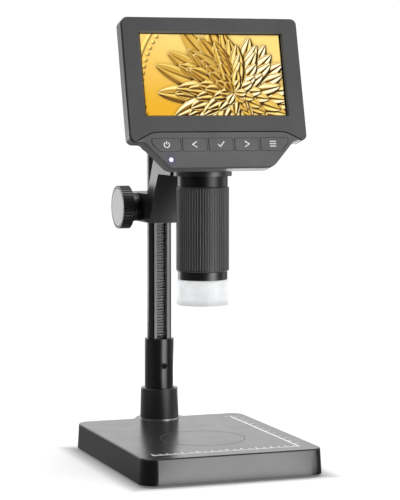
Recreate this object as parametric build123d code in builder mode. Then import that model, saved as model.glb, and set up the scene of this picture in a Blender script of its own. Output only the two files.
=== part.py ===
from build123d import *
import math
import os

# LCD digital microscope on a rack-and-pinion stand. Millimetres, +Z up, front towards -Y.
# The origin is on the desk, at the centre of the base's footprint. Heights that end in _height
# and are given from the stage are measured up from the top face of the base.

os.makedirs("parts", exist_ok=True)

# ---- Fits -------------------------------------------------------------------------------------
running_gap = 0.05        # radial, between a shaft and the bush it turns or slides in
seat_gap = 0.05           # radial, around a fixed piece in its seat
move_gap = 0.3            # between faces of pieces that move past each other
bore_floor = 0.2          # left under the end of a screw or peg

# ---- Base -------------------------------------------------------------------------------------
base_width = 120.6
base_length = 151.7
base_height = 16.7
base_corner = 9.0
base_draft = 3.0          # degrees that the side walls lean outwards towards the desk
base_bevel = 0.7
base_wall = 2.5
base_roof = 3.0
lobe_radius = 17.0        # rounded bulge of the base behind the column
lobe_blend = 5.0
post_inset = 1.3          # column axis in front of the straight rear edge
cover_thickness = 2.4
foot_radius = 6.0
foot_height = 1.5
foot_recess = 1.0
foot_inset_x = 16.0
foot_inset_y = 30.0
base_screw_inset = 13.5
ballast_width = 84.0
ballast_length = 92.0
ballast_thickness = 5.0
ballast_setback = 22.0    # behind the base's front edge

# ---- Column and its socket --------------------------------------------------------------------
throat = 88.7             # optical axis to column axis
post_radius = 8.3
post_top_height = 205.0   # above the stage
post_flat = 6.2           # front flat, in front of the column axis
channel_width = 7.6
channel_lead = 5.0        # how far the channel runs down inside the collar
collar_radius = 10.0
collar_top_height = 55.8
collar_taper = 0.12
foot_collar_radius = 12.8
foot_collar_height = 21.4
foot_collar_flare = 0.6
socket_spigot_wall = 2.4
socket_depth = 8.0        # below the stage
post_boss_wall = 3.4
post_boss_floor = 3.0
set_screw_radius = 2.0
set_screw_height = 37.2
set_screw_recess = 1.2    # below the face of the collar
post_bolt_radius = 3.0
post_bolt_grip = 16.0
post_bolt_head_radius = 5.0
post_bolt_head_height = 3.2
column_cap_height = 2.6
cap_peg_radius = 1.8
cap_peg_length = 5.0
cap_peg_setback = 4.6

# ---- Rack and pinion --------------------------------------------------------------------------
gear_module = 0.6
pinion_teeth = 24
pressure_angle = 20.0
backlash = 0.12
rack_tip = 2.7            # rack tooth tips, in front of the column axis
rack_body = 3.0           # rack behind its tooth roots
rack_side_gap = 0.05
pinion_face = 6.6
shaft_radius = 2.5

# ---- Carriage ---------------------------------------------------------------------------------
arm_width = 37.8
block_bottom_height = 138.3   # above the stage
block_height = 19.4
block_depth = 50.6
block_back_wall = 5.4
block_rear_corner = 9.0
neck_waist_lead = 4.6     # front of the neck in front of the block, half way up
neck_waist_rise = 11.2    # above the underside of the block
neck_top_lead = 17.6      # front of the neck in front of the block, where it meets the arm
neck_thickness = 14.6     # fore-and-aft
neck_rise = 11.0          # top of the neck above the arm plate
neck_lean = 0.543         # forward run for each unit of rise of its rear face
arm_rise = 33.7           # underside of the arm above the underside of the block
arm_thickness = 2.9
ring_wall = 1.4
bush_wall = 5.7
bush_flange_radius = 9.6
bush_flange = 2.4
bush_clear = 0.7          # between the bush and the side of the column
tension_radius = 2.5
tension_pad_length = 2.0

# ---- Height knobs -----------------------------------------------------------------------------
knob_radius = 14.6
knob_depth = 11.4
knob_rim = 7.6
knob_cone = 3.2
knob_hub_radius = 9.8
knob_edge = 1.2
knob_notches = 44
knob_notch_radius = 0.45
knob_cap_thickness = 1.2
knob_shaft_depth = 7.0

# ---- Lens tube --------------------------------------------------------------------------------
lift_gap = 0.35           # radial, where the sleeve is lifted out through the holder ring
sleeve_wall = 3.65
sleeve_length = 54.6
sleeve_ribs = 60
sleeve_rib_radius = 0.5
tube_wall = 1.1
neck_length = 7.2         # gloss neck between the sleeve and the holder ring
neck_inset = 0.85         # neck drawn in from the outside of the sleeve
tube_spigot = 6.0
slot_radius = 1.1
pin_radius = 1.0
focus_lead = 12.0         # lens travel for one turn of the sleeve
focus_travel = 4.5        # each way
groove_depth = 1.7
groove_margin = 1.2
light_ring_inset = 1.05   # light ring drawn in from the outside of the sleeve
light_ring_length = 5.2
led_board_thickness = 1.2
led_board_bore = 7.6
led_count = 8
led_size = 2.8
led_height = 0.8
led_inset = 2.5           # middle of the lamps in from the outside of the tube
diffuser_inset = 0.25     # cap drawn in from the outside of the sleeve
diffuser_wall = 1.5
diffuser_length = 16.5
diffuser_roof = 1.2
diffuser_bore = 8.0
diffuser_lip = 1.0
diffuser_chamfer = 1.0

# ---- Lens cell --------------------------------------------------------------------------------
cell_length = 20.0
cell_drop = 30.9          # middle of the lens cell below the top of the sleeve
lens_radius = 8.0
front_lens_edge = 2.4
rear_lens_edge = 2.0
lens_sag = 1.1
lens_seat = 1.2
retainer_length = 2.0
retainer_bore = 6.4
pin_wall = 0.85           # between the lens and the inner end of the guide pin

# ---- Head -------------------------------------------------------------------------------------
screen_setback = 21.0     # screen centre in front of the optical axis
screen_rise = 50.6        # screen centre above the underside of the hump
head_tilt = 14.5          # degrees that the screen leans back
panel_corner = 4.0
panel_round = 0.6
bezel_rise = 1.5          # front of the bezel in front of the glass
bezel_back = 1.0          # bezel plate behind the front of the glass
opening_width = 97.5
opening_height = 55.5
opening_taper = 30.0
opening_drop = 0.5        # opening centre below the screen centre
glass_border = 1.8        # glass beyond the opening
chin = 10.05              # bezel below the opening
shoulder_drop = 5.9       # lower edge of the bezel's wings below the top of the seam
fascia_height = 23.2
seam_width = 0.8          # groove between the bezel and the fascia
seam_end_inset = 3.3      # these four are drawn in from the side of the head
shoulder_inset = 8.8
seam_top_inset = 14.8
fascia_foot_inset = 24.8
seam_blend = 16.0
fascia_blend = 8.0
shoulder_blend = 5.0
case_floor_gap = 0.1      # under the sockets
body_inset = 0.05
body_groove = 0.6
body_wall = 1.7
hump_half_width = 38.5
hump_rear = 21.0          # rear face behind the optical axis
hump_shoulder_rise = 35.0
hump_top_depth = 11.0
hump_top = 16.0
hump_front_depth = 5.0
hump_round = 7.0
turret_height = 11.9
turret_lip = 0.5          # turret beyond the outside of the holder ring
turret_spigot = 2.7
turret_bore = 9.5
turret_neck = 3.4
turret_neck_radius = 14.4
head_play = 0.2
boss_gap = 0.2            # between the display and the bosses beside it
corner_boss_drop = 9.5
corner_boss_lift = 14.2
corner_boss_radius = 1.9
fascia_boss_u = 22.0
fascia_boss_lift = 6.3
fascia_boss_radius = 2.6
screw_radius = 0.9
screw_head_radius = 1.6
screw_head_height = 1.1
screw_length = 4.6

# ---- Display and electronics ------------------------------------------------------------------
glass_thickness = 1.0
lcd_side_border = 3.75    # display panel beyond the opening
lcd_end_border = 5.45
lcd_side_gap = 5.05       # between the display panel and the case wall
lcd_top_gap = 2.05
lcd_thickness = 2.9
carrier_thickness = 0.5
board_standoff = 0.5
board_thickness = 1.0
board_inset = 0.5         # drawn in from the sides of the display panel
board_height = 48.0
board_raise = 4.0
board_screw_inset_u = 6.0
board_screw_inset_v = 4.0
usb_width = 7.5
usb_height = 2.1
usb_depth = 5.6
usb_v = 8.0
card_width = 12.0
card_height = 1.8
card_depth = 14.6
card_v = -7.5
port_gap = 0.3
battery_width = 60.0
battery_height = 23.8
battery_thickness = 8.5
battery_lift = 7.1
sensor_board_size = 25.0
sensor_size = 8.0
sensor_thickness = 1.2

# ---- Buttons ----------------------------------------------------------------------------------
button_drop = 4.2         # below the top of the seam
button_height = 7.9
button_gap = 1.4
select_half_width = 8.05
inner_button_width = 16.2
button_side = 4.75        # from the outer buttons to the shoulder of the fascia
outer_button_cut = 4.6
button_round = 0.8
button_rise = 0.3         # cap in front of the fascia
button_play = 0.25        # around each cap
button_lip = 0.5
button_lip_thickness = 0.8
button_travel = 0.5
button_stem_radius = 1.2
button_stem = 1.1
plunger_radius = 1.0
plunger_height = 0.5
switch_size = 4.4
switch_height = 1.5
button_board_thickness = 1.0
button_board_inset = 3.4
led_lens_radius = 1.5
led_lens_inset = 0.5      # from the end of the fascia's foot
led_lens_lift = 5.5

# ---- Places that follow from the sizes --------------------------------------------------------
footprint_length = base_length + lobe_radius - post_inset
base_front_y = -footprint_length / 2
base_rear_y = base_front_y + base_length
base_mid_y = (base_front_y + base_rear_y) / 2
post_y = base_rear_y - post_inset
axis_y = post_y - throat
stage_z = foot_height + base_height
cover_top_z = foot_height + cover_thickness
roof_z = stage_z - base_roof

collar_top_z = stage_z + collar_top_height
post_top_z = stage_z + post_top_height
socket_floor_z = stage_z - socket_depth
boss_floor_z = socket_floor_z - post_boss_floor
channel_bottom_z = collar_top_z - channel_lead
socket_bore = post_radius + seat_gap
socket_spigot_radius = post_radius + socket_spigot_wall

tooth_pitch = math.pi * gear_module
pitch_radius = gear_module * pinion_teeth / 2
addendum = gear_module
dedendum = 1.25 * gear_module
rack_tip_y = post_y - rack_tip
rack_root_y = rack_tip_y + addendum + dedendum
rack_back_y = rack_root_y + rack_body
pinion_y = rack_tip_y + addendum - pitch_radius
block_bottom_z = stage_z + block_bottom_height
block_top_z = block_bottom_z + block_height
pinion_z = block_bottom_z + block_height / 2
block_rear_y = post_y + post_radius + block_back_wall
block_front_y = block_rear_y - block_depth
arm_z = block_bottom_z + arm_rise
arm_top_z = arm_z + arm_thickness
pinion_bore = shaft_radius + bush_wall
bush_inner_x = post_radius + bush_clear
bush_outer_x = arm_width / 2 + bush_flange

ring_radius = arm_width / 2
ring_bore = ring_radius - ring_wall
spigot_radius = ring_bore - running_gap
turret_radius = ring_radius + turret_lip
mount_screw_circle = (turret_radius + turret_neck_radius) / 2
turret_bottom_z = arm_top_z + head_play
spigot_bottom_z = turret_bottom_z - turret_spigot
hump_bottom_z = turret_bottom_z + turret_height
hump_shoulder_z = hump_bottom_z + hump_shoulder_rise

sleeve_radius = ring_bore - lift_gap
tube_radius = sleeve_radius - sleeve_wall
tube_bore = tube_radius - tube_wall
neck_radius = sleeve_radius - neck_inset
light_ring_radius = sleeve_radius - light_ring_inset
diffuser_radius = sleeve_radius - diffuser_inset
led_circle = tube_radius - led_inset
neck_bottom_z = spigot_bottom_z - neck_length
sleeve_top_z = neck_bottom_z - move_gap
sleeve_bottom_z = sleeve_top_z - sleeve_length
light_ring_top_z = sleeve_bottom_z - move_gap
light_ring_bottom_z = light_ring_top_z - light_ring_length
led_board_top_z = light_ring_bottom_z + led_height + diffuser_lip + led_board_thickness
diffuser_bottom_z = light_ring_bottom_z - diffuser_length
cell_mid_z = sleeve_top_z - cell_drop

tilt = math.radians(head_tilt)
screen_normal = Vector(0, -math.cos(tilt), math.sin(tilt))
screen_up = Vector(0, math.sin(tilt), math.cos(tilt))
screen_centre = Vector(0, axis_y - screen_setback, hump_bottom_z + screen_rise)
glass_width = opening_width + 2 * glass_border
glass_height = opening_height + 2 * glass_border
lcd_width = opening_width + 2 * lcd_side_border
lcd_height = opening_height + 2 * lcd_end_border
head_width = lcd_width + 2 * (lcd_side_gap + body_wall + body_inset)
board_width = lcd_width - 2 * board_inset

# Heights on the head are measured up the screen from its centre.
panel_top = lcd_height / 2 - opening_drop + lcd_top_gap + body_wall + body_inset
seam_top = -opening_height / 2 - opening_drop - chin
panel_bottom = seam_top - shoulder_drop
fascia_bottom = seam_top - fascia_height
seam_half_width = head_width / 2 - seam_top_inset
seam_end = head_width / 2 - seam_end_inset
fascia_shoulder_half = head_width / 2 - shoulder_inset
fascia_bottom_half = head_width / 2 - fascia_foot_inset
corner_boss_u = lcd_width / 2 + boss_gap + corner_boss_radius
corner_boss_top = panel_top - corner_boss_drop
corner_boss_bottom = panel_bottom + corner_boss_lift
fascia_boss_v = fascia_bottom + fascia_boss_lift
button_top = seam_top - button_drop
button_bottom = button_top - button_height
led_lens_u = led_lens_inset - fascia_bottom_half
led_lens_v = fascia_bottom + led_lens_lift
board_screw_u = board_width / 2 - board_screw_inset_u
board_screw_v = board_height / 2 - board_screw_inset_v

# Depths in the head are measured forward from the front of the glass.
lcd_back = -glass_thickness - lcd_thickness
carrier_back = lcd_back - carrier_thickness
board_front = carrier_back - board_standoff
board_back = board_front - board_thickness
body_floor = board_back - usb_height - case_floor_gap
body_back = body_floor - body_wall
body_depth = bezel_rise - body_back
cap_back = -bezel_back - move_gap
lip_back = cap_back - button_lip_thickness
stem_back = lip_back - button_stem
plunger_front = stem_back - button_travel - seat_gap
switch_front = plunger_front - plunger_height
button_board_front = switch_front - switch_height
button_board_back = button_board_front - button_board_thickness


def level(height):
    """Horizontal plane at a height above the desk."""
    return Plane.XY.offset(height)


def level_on(height, y):
    """Horizontal plane at a height, with its origin on the middle plane at y."""
    return Plane(origin=(0, y, height), z_dir=(0, 0, 1))


def screen_plane(depth):
    """Plane parallel to the screen; depth is counted forward from the front of the glass."""
    return Plane(origin=screen_centre + screen_normal * depth, x_dir=(1, 0, 0), z_dir=screen_normal)


def turned_at(y):
    """Upright plane through a vertical axis at y, for profiles of turned pieces."""
    return Plane(origin=(0, y, 0), x_dir=(1, 0, 0), z_dir=(0, -1, 0))


def upright_axis(y):
    return Axis((0, y, 0), (0, 0, 1))


def side_plane(x):
    """Plane across the microscope at x, seen from +X: local x runs back, local y runs up."""
    return Plane(origin=(x, 0, 0), x_dir=(0, 1, 0), z_dir=(1, 0, 0))


def finish_part(builder, name):
    """Label a finished piece and write it to its own file."""
    builder.part.label = name
    export_step(builder.part, f"parts/{name}.step")


# ---- Base -------------------------------------------------------------------------------------
base_flare = base_height * math.tan(math.radians(base_draft))


def base_outline(inset):
    """Rounded rectangle with a round lobe behind the column, drawn in from the top edge."""
    with BuildSketch() as outline:
        with Locations((0, base_mid_y)):
            RectangleRounded(base_width - 2 * inset, base_length - 2 * inset, base_corner - inset)
        with Locations((0, post_y)):
            Circle(lobe_radius - inset)
        corners = outline.vertices().filter_by(
            lambda v: v.Y > base_rear_y - inset - lobe_blend / 8 and abs(v.X) < lobe_radius
        )
        fillet(corners, lobe_blend)
    return outline.sketch


screw_x = base_width / 2 - base_screw_inset
screw_points = [(sx * screw_x, y) for sx in (-1, 1)
                for y in (base_front_y + base_screw_inset, base_rear_y - base_screw_inset)]
foot_x = base_width / 2 - foot_inset_x
foot_points = [(sx * foot_x, y) for sx in (-1, 1)
               for y in (base_front_y + foot_inset_y, base_rear_y - foot_inset_y)]
base_screw_radius = 1.5
base_screw_head = 2.9
base_boss_radius = 4.2
base_screw_length = 9.0
post_boss_radius = socket_spigot_radius + post_boss_wall
bolt_pocket_clear = 1.0
bolt_pocket_radius = post_bolt_head_radius + bolt_pocket_clear

with BuildPart() as base_shell:
    for low, high, low_inset, high_inset in (
        (foot_height, stage_z - base_bevel, -base_flare, 0),
        (stage_z - base_bevel, stage_z, 0, base_bevel),
    ):
        with BuildSketch(level(low)):
            add(base_outline(low_inset))
        with BuildSketch(level(high)):
            add(base_outline(high_inset))
        loft(ruled=True)
    with BuildSketch(level(foot_height)):
        add(base_outline(base_wall))
    extrude(amount=roof_z - foot_height, mode=Mode.SUBTRACT)
    with BuildSketch(level(cover_top_z)):
        with Locations(*screw_points):
            Circle(base_boss_radius)
        with Locations((0, post_y)):
            Circle(post_boss_radius)
    extrude(amount=roof_z - cover_top_z)
    with BuildSketch(level(cover_top_z)):
        with Locations(*screw_points):
            Circle(base_screw_radius + seat_gap)
    extrude(amount=base_screw_length, mode=Mode.SUBTRACT)
    with BuildSketch(level(stage_z)):
        with Locations((0, post_y)):
            Circle(socket_spigot_radius + seat_gap)
    extrude(amount=-socket_depth, mode=Mode.SUBTRACT)
    with BuildSketch(level(cover_top_z)):
        with Locations((0, post_y)):
            Circle(bolt_pocket_radius)
    extrude(amount=boss_floor_z - cover_top_z, mode=Mode.SUBTRACT)
    with BuildSketch(level(boss_floor_z)):
        with Locations((0, post_y)):
            Circle(post_bolt_radius + seat_gap)
    extrude(amount=post_boss_floor, mode=Mode.SUBTRACT)
finish_part(base_shell, "base_shell")

with BuildPart() as base_cover:
    with BuildSketch(level(foot_height)):
        add(base_outline(base_wall + seat_gap))
        with Locations(*screw_points):
            Circle(base_screw_radius + seat_gap, mode=Mode.SUBTRACT)
        with Locations((0, post_y)):
            Circle(bolt_pocket_radius, mode=Mode.SUBTRACT)
    extrude(amount=cover_thickness)
    with BuildSketch(level(foot_height)):
        with Locations(*foot_points):
            Circle(foot_radius + seat_gap)
        with Locations(*screw_points):
            Circle(base_screw_head + seat_gap)
    extrude(amount=foot_recess, mode=Mode.SUBTRACT)
finish_part(base_cover, "base_cover")

with BuildPart() as rubber_feet:
    with BuildSketch(level(0)):
        with Locations(*foot_points):
            Circle(foot_radius)
    extrude(amount=foot_height + foot_recess)
    chamfer(rubber_feet.edges().group_by(Axis.Z)[0], foot_recess / 2)
finish_part(rubber_feet, "rubber_feet")

with BuildPart() as base_screws:
    with BuildSketch(level(foot_height)):
        with Locations(*screw_points):
            Circle(base_screw_head)
    extrude(amount=foot_recess)
    with BuildSketch(level(foot_height + foot_recess)):
        with Locations(*screw_points):
            Circle(base_screw_radius)
    extrude(amount=cover_thickness - foot_recess + base_screw_length - bore_floor)
finish_part(base_screws, "base_screws")

with BuildPart() as ballast_plate:
    ballast_y = base_front_y + ballast_setback + ballast_length / 2
    with BuildSketch(level_on(cover_top_z, ballast_y)):
        RectangleRounded(ballast_width, ballast_length, base_boss_radius)
    extrude(amount=ballast_thickness)
finish_part(ballast_plate, "ballast_plate")

# ---- Column -----------------------------------------------------------------------------------
with BuildPart() as post_socket:
    with BuildSketch(turned_at(post_y)):
        with BuildLine():
            Polyline(
                (socket_bore, socket_floor_z),
                (socket_spigot_radius, socket_floor_z),
                (socket_spigot_radius, stage_z),
                (foot_collar_radius + foot_collar_flare, stage_z),
                (foot_collar_radius, stage_z + foot_collar_height),
                (collar_radius + collar_taper, stage_z + foot_collar_height),
                (collar_radius, collar_top_z),
                (socket_bore, collar_top_z),
                close=True,
            )
        make_face()
    revolve(axis=upright_axis(post_y))
    step_edge = post_socket.edges().filter_by(GeomType.CIRCLE).filter_by(
        lambda e: abs(e.center().Z - stage_z - foot_collar_height) < seat_gap
    )
    fillet(step_edge.sort_by(lambda e: e.radius)[-1], foot_collar_flare)
    with BuildSketch(Plane.XZ.offset(-post_y)):
        with Locations((0, stage_z + set_screw_height)):
            Circle(set_screw_radius + seat_gap)
    extrude(amount=foot_collar_radius, mode=Mode.SUBTRACT)
finish_part(post_socket, "post_socket")

with BuildPart() as column_post:
    with BuildSketch(level_on(socket_floor_z, post_y)):
        Circle(post_radius)
        with Locations((0, -post_flat - post_radius / 2)):
            Rectangle(2 * post_radius, post_radius, mode=Mode.SUBTRACT)
    extrude(amount=post_top_z - socket_floor_z)
    channel_floor_y = rack_back_y - post_y
    channel_depth = channel_floor_y + post_radius
    with BuildSketch(level_on(channel_bottom_z, post_y)):
        with Locations((0, channel_floor_y - channel_depth / 2)):
            Rectangle(channel_width, channel_depth)
    extrude(amount=post_top_z - channel_bottom_z, mode=Mode.SUBTRACT)
    with BuildSketch(level_on(socket_floor_z, post_y)):
        Circle(post_bolt_radius + seat_gap)
    extrude(amount=post_bolt_grip, mode=Mode.SUBTRACT)
    with BuildSketch(level_on(post_top_z, post_y + cap_peg_setback)):
        Circle(cap_peg_radius + seat_gap)
    extrude(amount=-cap_peg_length, mode=Mode.SUBTRACT)
finish_part(column_post, "column_post")

rack_bottom_z = channel_bottom_z + bore_floor
rack_top_z = post_top_z
plain_pitches = 1         # tooth pitches left plain at each end of the rack
first_tooth = math.ceil((rack_bottom_z - pinion_z) / tooth_pitch) + plain_pitches
end_tooth = math.floor((rack_top_z - pinion_z) / tooth_pitch) - plain_pitches


def rack_profile():
    """Side view of the rack; a tooth gap faces the pinion axis when the carriage is at rest."""
    slope = math.tan(math.radians(pressure_angle))
    pitch_half = tooth_pitch / 4 - backlash / 4
    tip_half = pitch_half - addendum * slope
    root_half = pitch_half + dedendum * slope
    outline = [(rack_back_y, rack_bottom_z), (rack_root_y, rack_bottom_z)]
    for tooth in range(first_tooth, end_tooth):
        middle = pinion_z + (tooth + 0.5) * tooth_pitch
        outline += [(rack_root_y, middle - root_half), (rack_tip_y, middle - tip_half)]
        outline += [(rack_tip_y, middle + tip_half), (rack_root_y, middle + root_half)]
    return outline + [(rack_root_y, rack_top_z), (rack_back_y, rack_top_z)]


with BuildPart() as rack_strip:
    with BuildSketch(side_plane(0)):
        with BuildLine():
            Polyline(*rack_profile(), close=True)
        make_face()
    extrude(amount=channel_width / 2 - rack_side_gap, both=True)
finish_part(rack_strip, "rack_strip")

with BuildPart() as column_cap:
    with BuildSketch(level_on(post_top_z, post_y)):
        Circle(post_radius)
    extrude(amount=column_cap_height)
    fillet(column_cap.edges().group_by(Axis.Z)[-1], column_cap_height / 3)
    with BuildSketch(level_on(post_top_z, post_y + cap_peg_setback)):
        Circle(cap_peg_radius)
    extrude(amount=bore_floor - cap_peg_length)
finish_part(column_cap, "column_cap")

with BuildPart() as set_screw:
    set_screw_tip = post_flat + seat_gap
    set_screw_length = collar_radius - set_screw_tip - seat_gap - set_screw_recess
    with BuildSketch(Plane.XZ.offset(set_screw_tip - post_y)):
        with Locations((0, stage_z + set_screw_height)):
            Circle(set_screw_radius)
    extrude(amount=set_screw_length)
    with BuildSketch(Plane.XZ.offset(set_screw_tip + set_screw_length - post_y)):
        with Locations((0, stage_z + set_screw_height)):
            RegularPolygon(set_screw_radius / 2, 6)
    extrude(amount=-set_screw_length / 2, mode=Mode.SUBTRACT)
finish_part(set_screw, "set_screw")

with BuildPart() as post_bolt:
    with BuildSketch(level_on(boss_floor_z, post_y)):
        Circle(post_bolt_head_radius)
    extrude(amount=-post_bolt_head_height)
    with BuildSketch(level_on(boss_floor_z, post_y)):
        Circle(post_bolt_radius)
    extrude(amount=post_boss_floor + post_bolt_grip - bore_floor)
    with BuildSketch(level_on(boss_floor_z - post_bolt_head_height, post_y)):
        RegularPolygon(post_bolt_radius, 6)
    extrude(amount=post_bolt_head_height / 2, mode=Mode.SUBTRACT)
finish_part(post_bolt, "post_bolt")

# ---- Carriage ---------------------------------------------------------------------------------
with BuildPart() as carriage_bracket:
    neck_waist_y = block_front_y - neck_waist_lead
    neck_waist_z = block_bottom_z + neck_waist_rise
    rear_foot_y = neck_waist_y + neck_thickness
    arm_root_y = block_front_y - neck_top_lead
    neck_top_z = arm_top_z + neck_rise
    neck_rear_y = rear_foot_y - neck_lean * (neck_top_z - neck_waist_z)
    neck_front_y = neck_rear_y - neck_thickness / 2
    with BuildSketch(side_plane(0)):
        with BuildLine():
            ThreePointArc(
                (block_front_y, block_bottom_z),
                (neck_waist_y, neck_waist_z),
                (arm_root_y, arm_z),
            )
            Polyline(
                (arm_root_y, arm_z),
                (axis_y + ring_radius / 2, arm_z),
                (axis_y + ring_radius / 2, arm_top_z),
                (neck_front_y - neck_rise, arm_top_z),
                (neck_front_y, neck_top_z),
                (neck_rear_y, neck_top_z),
                (rear_foot_y - neck_lean * (block_top_z - neck_waist_z), block_top_z),
                (block_rear_y, block_top_z),
                (block_rear_y, block_bottom_z),
                (block_front_y, block_bottom_z),
            )
        make_face()
    extrude(amount=arm_width / 2, both=True)
    rear_corners = carriage_bracket.edges().filter_by(Axis.Z).group_by(Axis.Y)[-1]
    fillet(rear_corners, block_rear_corner)
    with BuildSketch(level_on(arm_z, axis_y)):
        Circle(ring_radius)
    extrude(amount=arm_thickness)
    with BuildSketch(level_on(arm_z, axis_y)):
        Circle(ring_bore)
    extrude(amount=arm_thickness, mode=Mode.SUBTRACT)
    with BuildSketch(level_on(block_bottom_z, post_y)):
        Circle(post_radius + running_gap)
    extrude(amount=block_height, mode=Mode.SUBTRACT)
    with BuildSketch(side_plane(0)):
        with Locations((pinion_y, pinion_z)):
            Circle(pinion_bore)
    extrude(amount=arm_width / 2, both=True, mode=Mode.SUBTRACT)
    with BuildSketch(Plane.XZ.offset(-post_y)):
        with Locations((0, pinion_z)):
            Circle(tension_radius + seat_gap)
    extrude(amount=-post_radius - block_back_wall, mode=Mode.SUBTRACT)
finish_part(carriage_bracket, "carriage_bracket")

with BuildPart() as tension_pad:
    pad_start = post_radius + running_gap
    with BuildSketch(Plane.XZ.offset(-post_y)):
        with Locations((0, pinion_z)):
            Circle(tension_radius)
    extrude(amount=-pad_start - tension_pad_length)
    with BuildSketch(level_on(block_bottom_z, post_y)):
        Circle(pad_start)
    extrude(amount=block_height, mode=Mode.SUBTRACT)
finish_part(tension_pad, "tension_pad")

with BuildPart() as tension_screw:
    screw_start = pad_start + tension_pad_length
    tension_screw_length = block_back_wall - tension_pad_length - running_gap
    with BuildSketch(Plane.XZ.offset(-post_y - screw_start)):
        with Locations((0, pinion_z)):
            Circle(tension_radius)
    extrude(amount=-tension_screw_length)
    with BuildSketch(Plane.XZ.offset(-post_y - screw_start - tension_screw_length)):
        with Locations((0, pinion_z)):
            RegularPolygon(tension_radius / 2, 6)
    extrude(amount=tension_screw_length / 2, mode=Mode.SUBTRACT)
finish_part(tension_screw, "tension_screw")

for side, name in ((-1, "left_bush"), (1, "right_bush")):
    with BuildPart() as shaft_bush:
        with BuildSketch(side_plane(side * bush_inner_x)):
            with Locations((pinion_y, pinion_z)):
                Circle(pinion_bore - seat_gap)
        extrude(amount=side * (arm_width / 2 - bush_inner_x))
        with BuildSketch(side_plane(side * arm_width / 2)):
            with Locations((pinion_y, pinion_z)):
                Circle(bush_flange_radius)
        extrude(amount=side * bush_flange)
        with BuildSketch(side_plane(side * bush_inner_x)):
            with Locations((pinion_y, pinion_z)):
                Circle(shaft_radius + running_gap)
        extrude(amount=side * (bush_outer_x - bush_inner_x), mode=Mode.SUBTRACT)
    finish_part(shaft_bush, name)

# ---- Knobs and pinion -------------------------------------------------------------------------
knob_inner_x = bush_outer_x + move_gap
knob_face = knob_inner_x + knob_depth
knob_rim_x = knob_face - knob_rim
cap_inner_x = knob_face - knob_cap_thickness
shaft_end_x = knob_inner_x + knob_shaft_depth


def pinion_profile():
    """Involute teeth about the pinion axis, the first one pointing straight back at the rack."""
    base_radius = pitch_radius * math.cos(math.radians(pressure_angle))
    tip_radius = pitch_radius + addendum
    root_radius = pitch_radius - dedendum
    half_tooth = (tooth_pitch / 2 - backlash / 2) / (2 * pitch_radius)

    def involute(radius):
        turn = math.acos(min(1.0, base_radius / radius))
        return math.tan(turn) - turn

    flank = [root_radius, base_radius, pitch_radius, (pitch_radius + tip_radius) / 2, tip_radius]
    lead = [half_tooth + involute(pitch_radius) - involute(max(r, base_radius)) for r in flank]
    outline = []
    for tooth in range(pinion_teeth):
        middle = tooth * 2 * math.pi / pinion_teeth
        rising = [(r, middle - a) for r, a in zip(flank, lead)]
        falling = [(r, middle + a) for r, a in zip(reversed(flank), reversed(lead))]
        outline += [(r * math.cos(a), r * math.sin(a)) for r, a in rising + falling]
    return outline


with BuildPart() as pinion_gear:
    with BuildSketch(Plane(origin=(0, pinion_y, pinion_z), x_dir=(0, 1, 0), z_dir=(1, 0, 0))):
        with BuildLine():
            Polyline(*pinion_profile(), close=True)
        make_face()
        Circle(shaft_radius + running_gap, mode=Mode.SUBTRACT)
    extrude(amount=pinion_face / 2, both=True)
finish_part(pinion_gear, "pinion_gear")

with BuildPart() as knob_shaft:
    with BuildSketch(side_plane(0)):
        with Locations((pinion_y, pinion_z)):
            Circle(shaft_radius)
    extrude(amount=shaft_end_x - bore_floor, both=True)
finish_part(knob_shaft, "knob_shaft")

for side, knob_name, cap_name in ((-1, "left_knob", "left_knob_cap"),
                                  (1, "right_knob", "right_knob_cap")):
    knob_axis = Axis((0, pinion_y, pinion_z), (1, 0, 0))
    with BuildPart() as height_knob:
        with BuildSketch(Plane(origin=(0, pinion_y, pinion_z), x_dir=(side, 0, 0),
                               z_dir=(0, -side, 0))):
            with BuildLine():
                Polyline(
                    (knob_inner_x, shaft_radius + seat_gap),
                    (knob_inner_x, knob_hub_radius),
                    (knob_rim_x - knob_cone + knob_edge, knob_hub_radius),
                    (knob_rim_x, knob_radius),
                    (knob_face, knob_radius),
                    (knob_face, knob_radius - knob_edge),
                    (cap_inner_x, knob_radius - knob_edge),
                    (cap_inner_x, 0),
                    (shaft_end_x, 0),
                    (shaft_end_x, shaft_radius + seat_gap),
                    close=True,
                )
            make_face()
        revolve(axis=knob_axis)
        with BuildSketch(Plane(origin=(side * knob_rim_x, pinion_y, pinion_z), x_dir=(0, 1, 0),
                               z_dir=(side, 0, 0))):
            with PolarLocations(knob_radius, knob_notches):
                Circle(knob_notch_radius)
        extrude(amount=knob_rim, mode=Mode.SUBTRACT)
    finish_part(height_knob, knob_name)

    with BuildPart() as knob_cap:
        with BuildSketch(Plane(origin=(side * cap_inner_x, pinion_y, pinion_z), x_dir=(0, 1, 0),
                               z_dir=(side, 0, 0))):
            Circle(knob_radius - knob_edge - seat_gap)
        extrude(amount=knob_cap_thickness)
    finish_part(knob_cap, cap_name)

# ---- Lens tube --------------------------------------------------------------------------------
groove_turns = 2 * (focus_travel + groove_margin) / focus_lead
groove_start_z = cell_mid_z - focus_travel - groove_margin
groove_start_turn = -90 - groove_turns * 180


def groove_path():
    """Helix of the focus groove; it crosses the front of the tube at the middle of the travel."""
    start = Plane(origin=(0, axis_y, groove_start_z), z_dir=(0, 0, 1)).rotated((0, 0, groove_start_turn))
    helix = Edge.make_helix(focus_lead, 2 * (focus_travel + groove_margin), tube_radius)
    return start.from_local_coords(helix)


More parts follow.
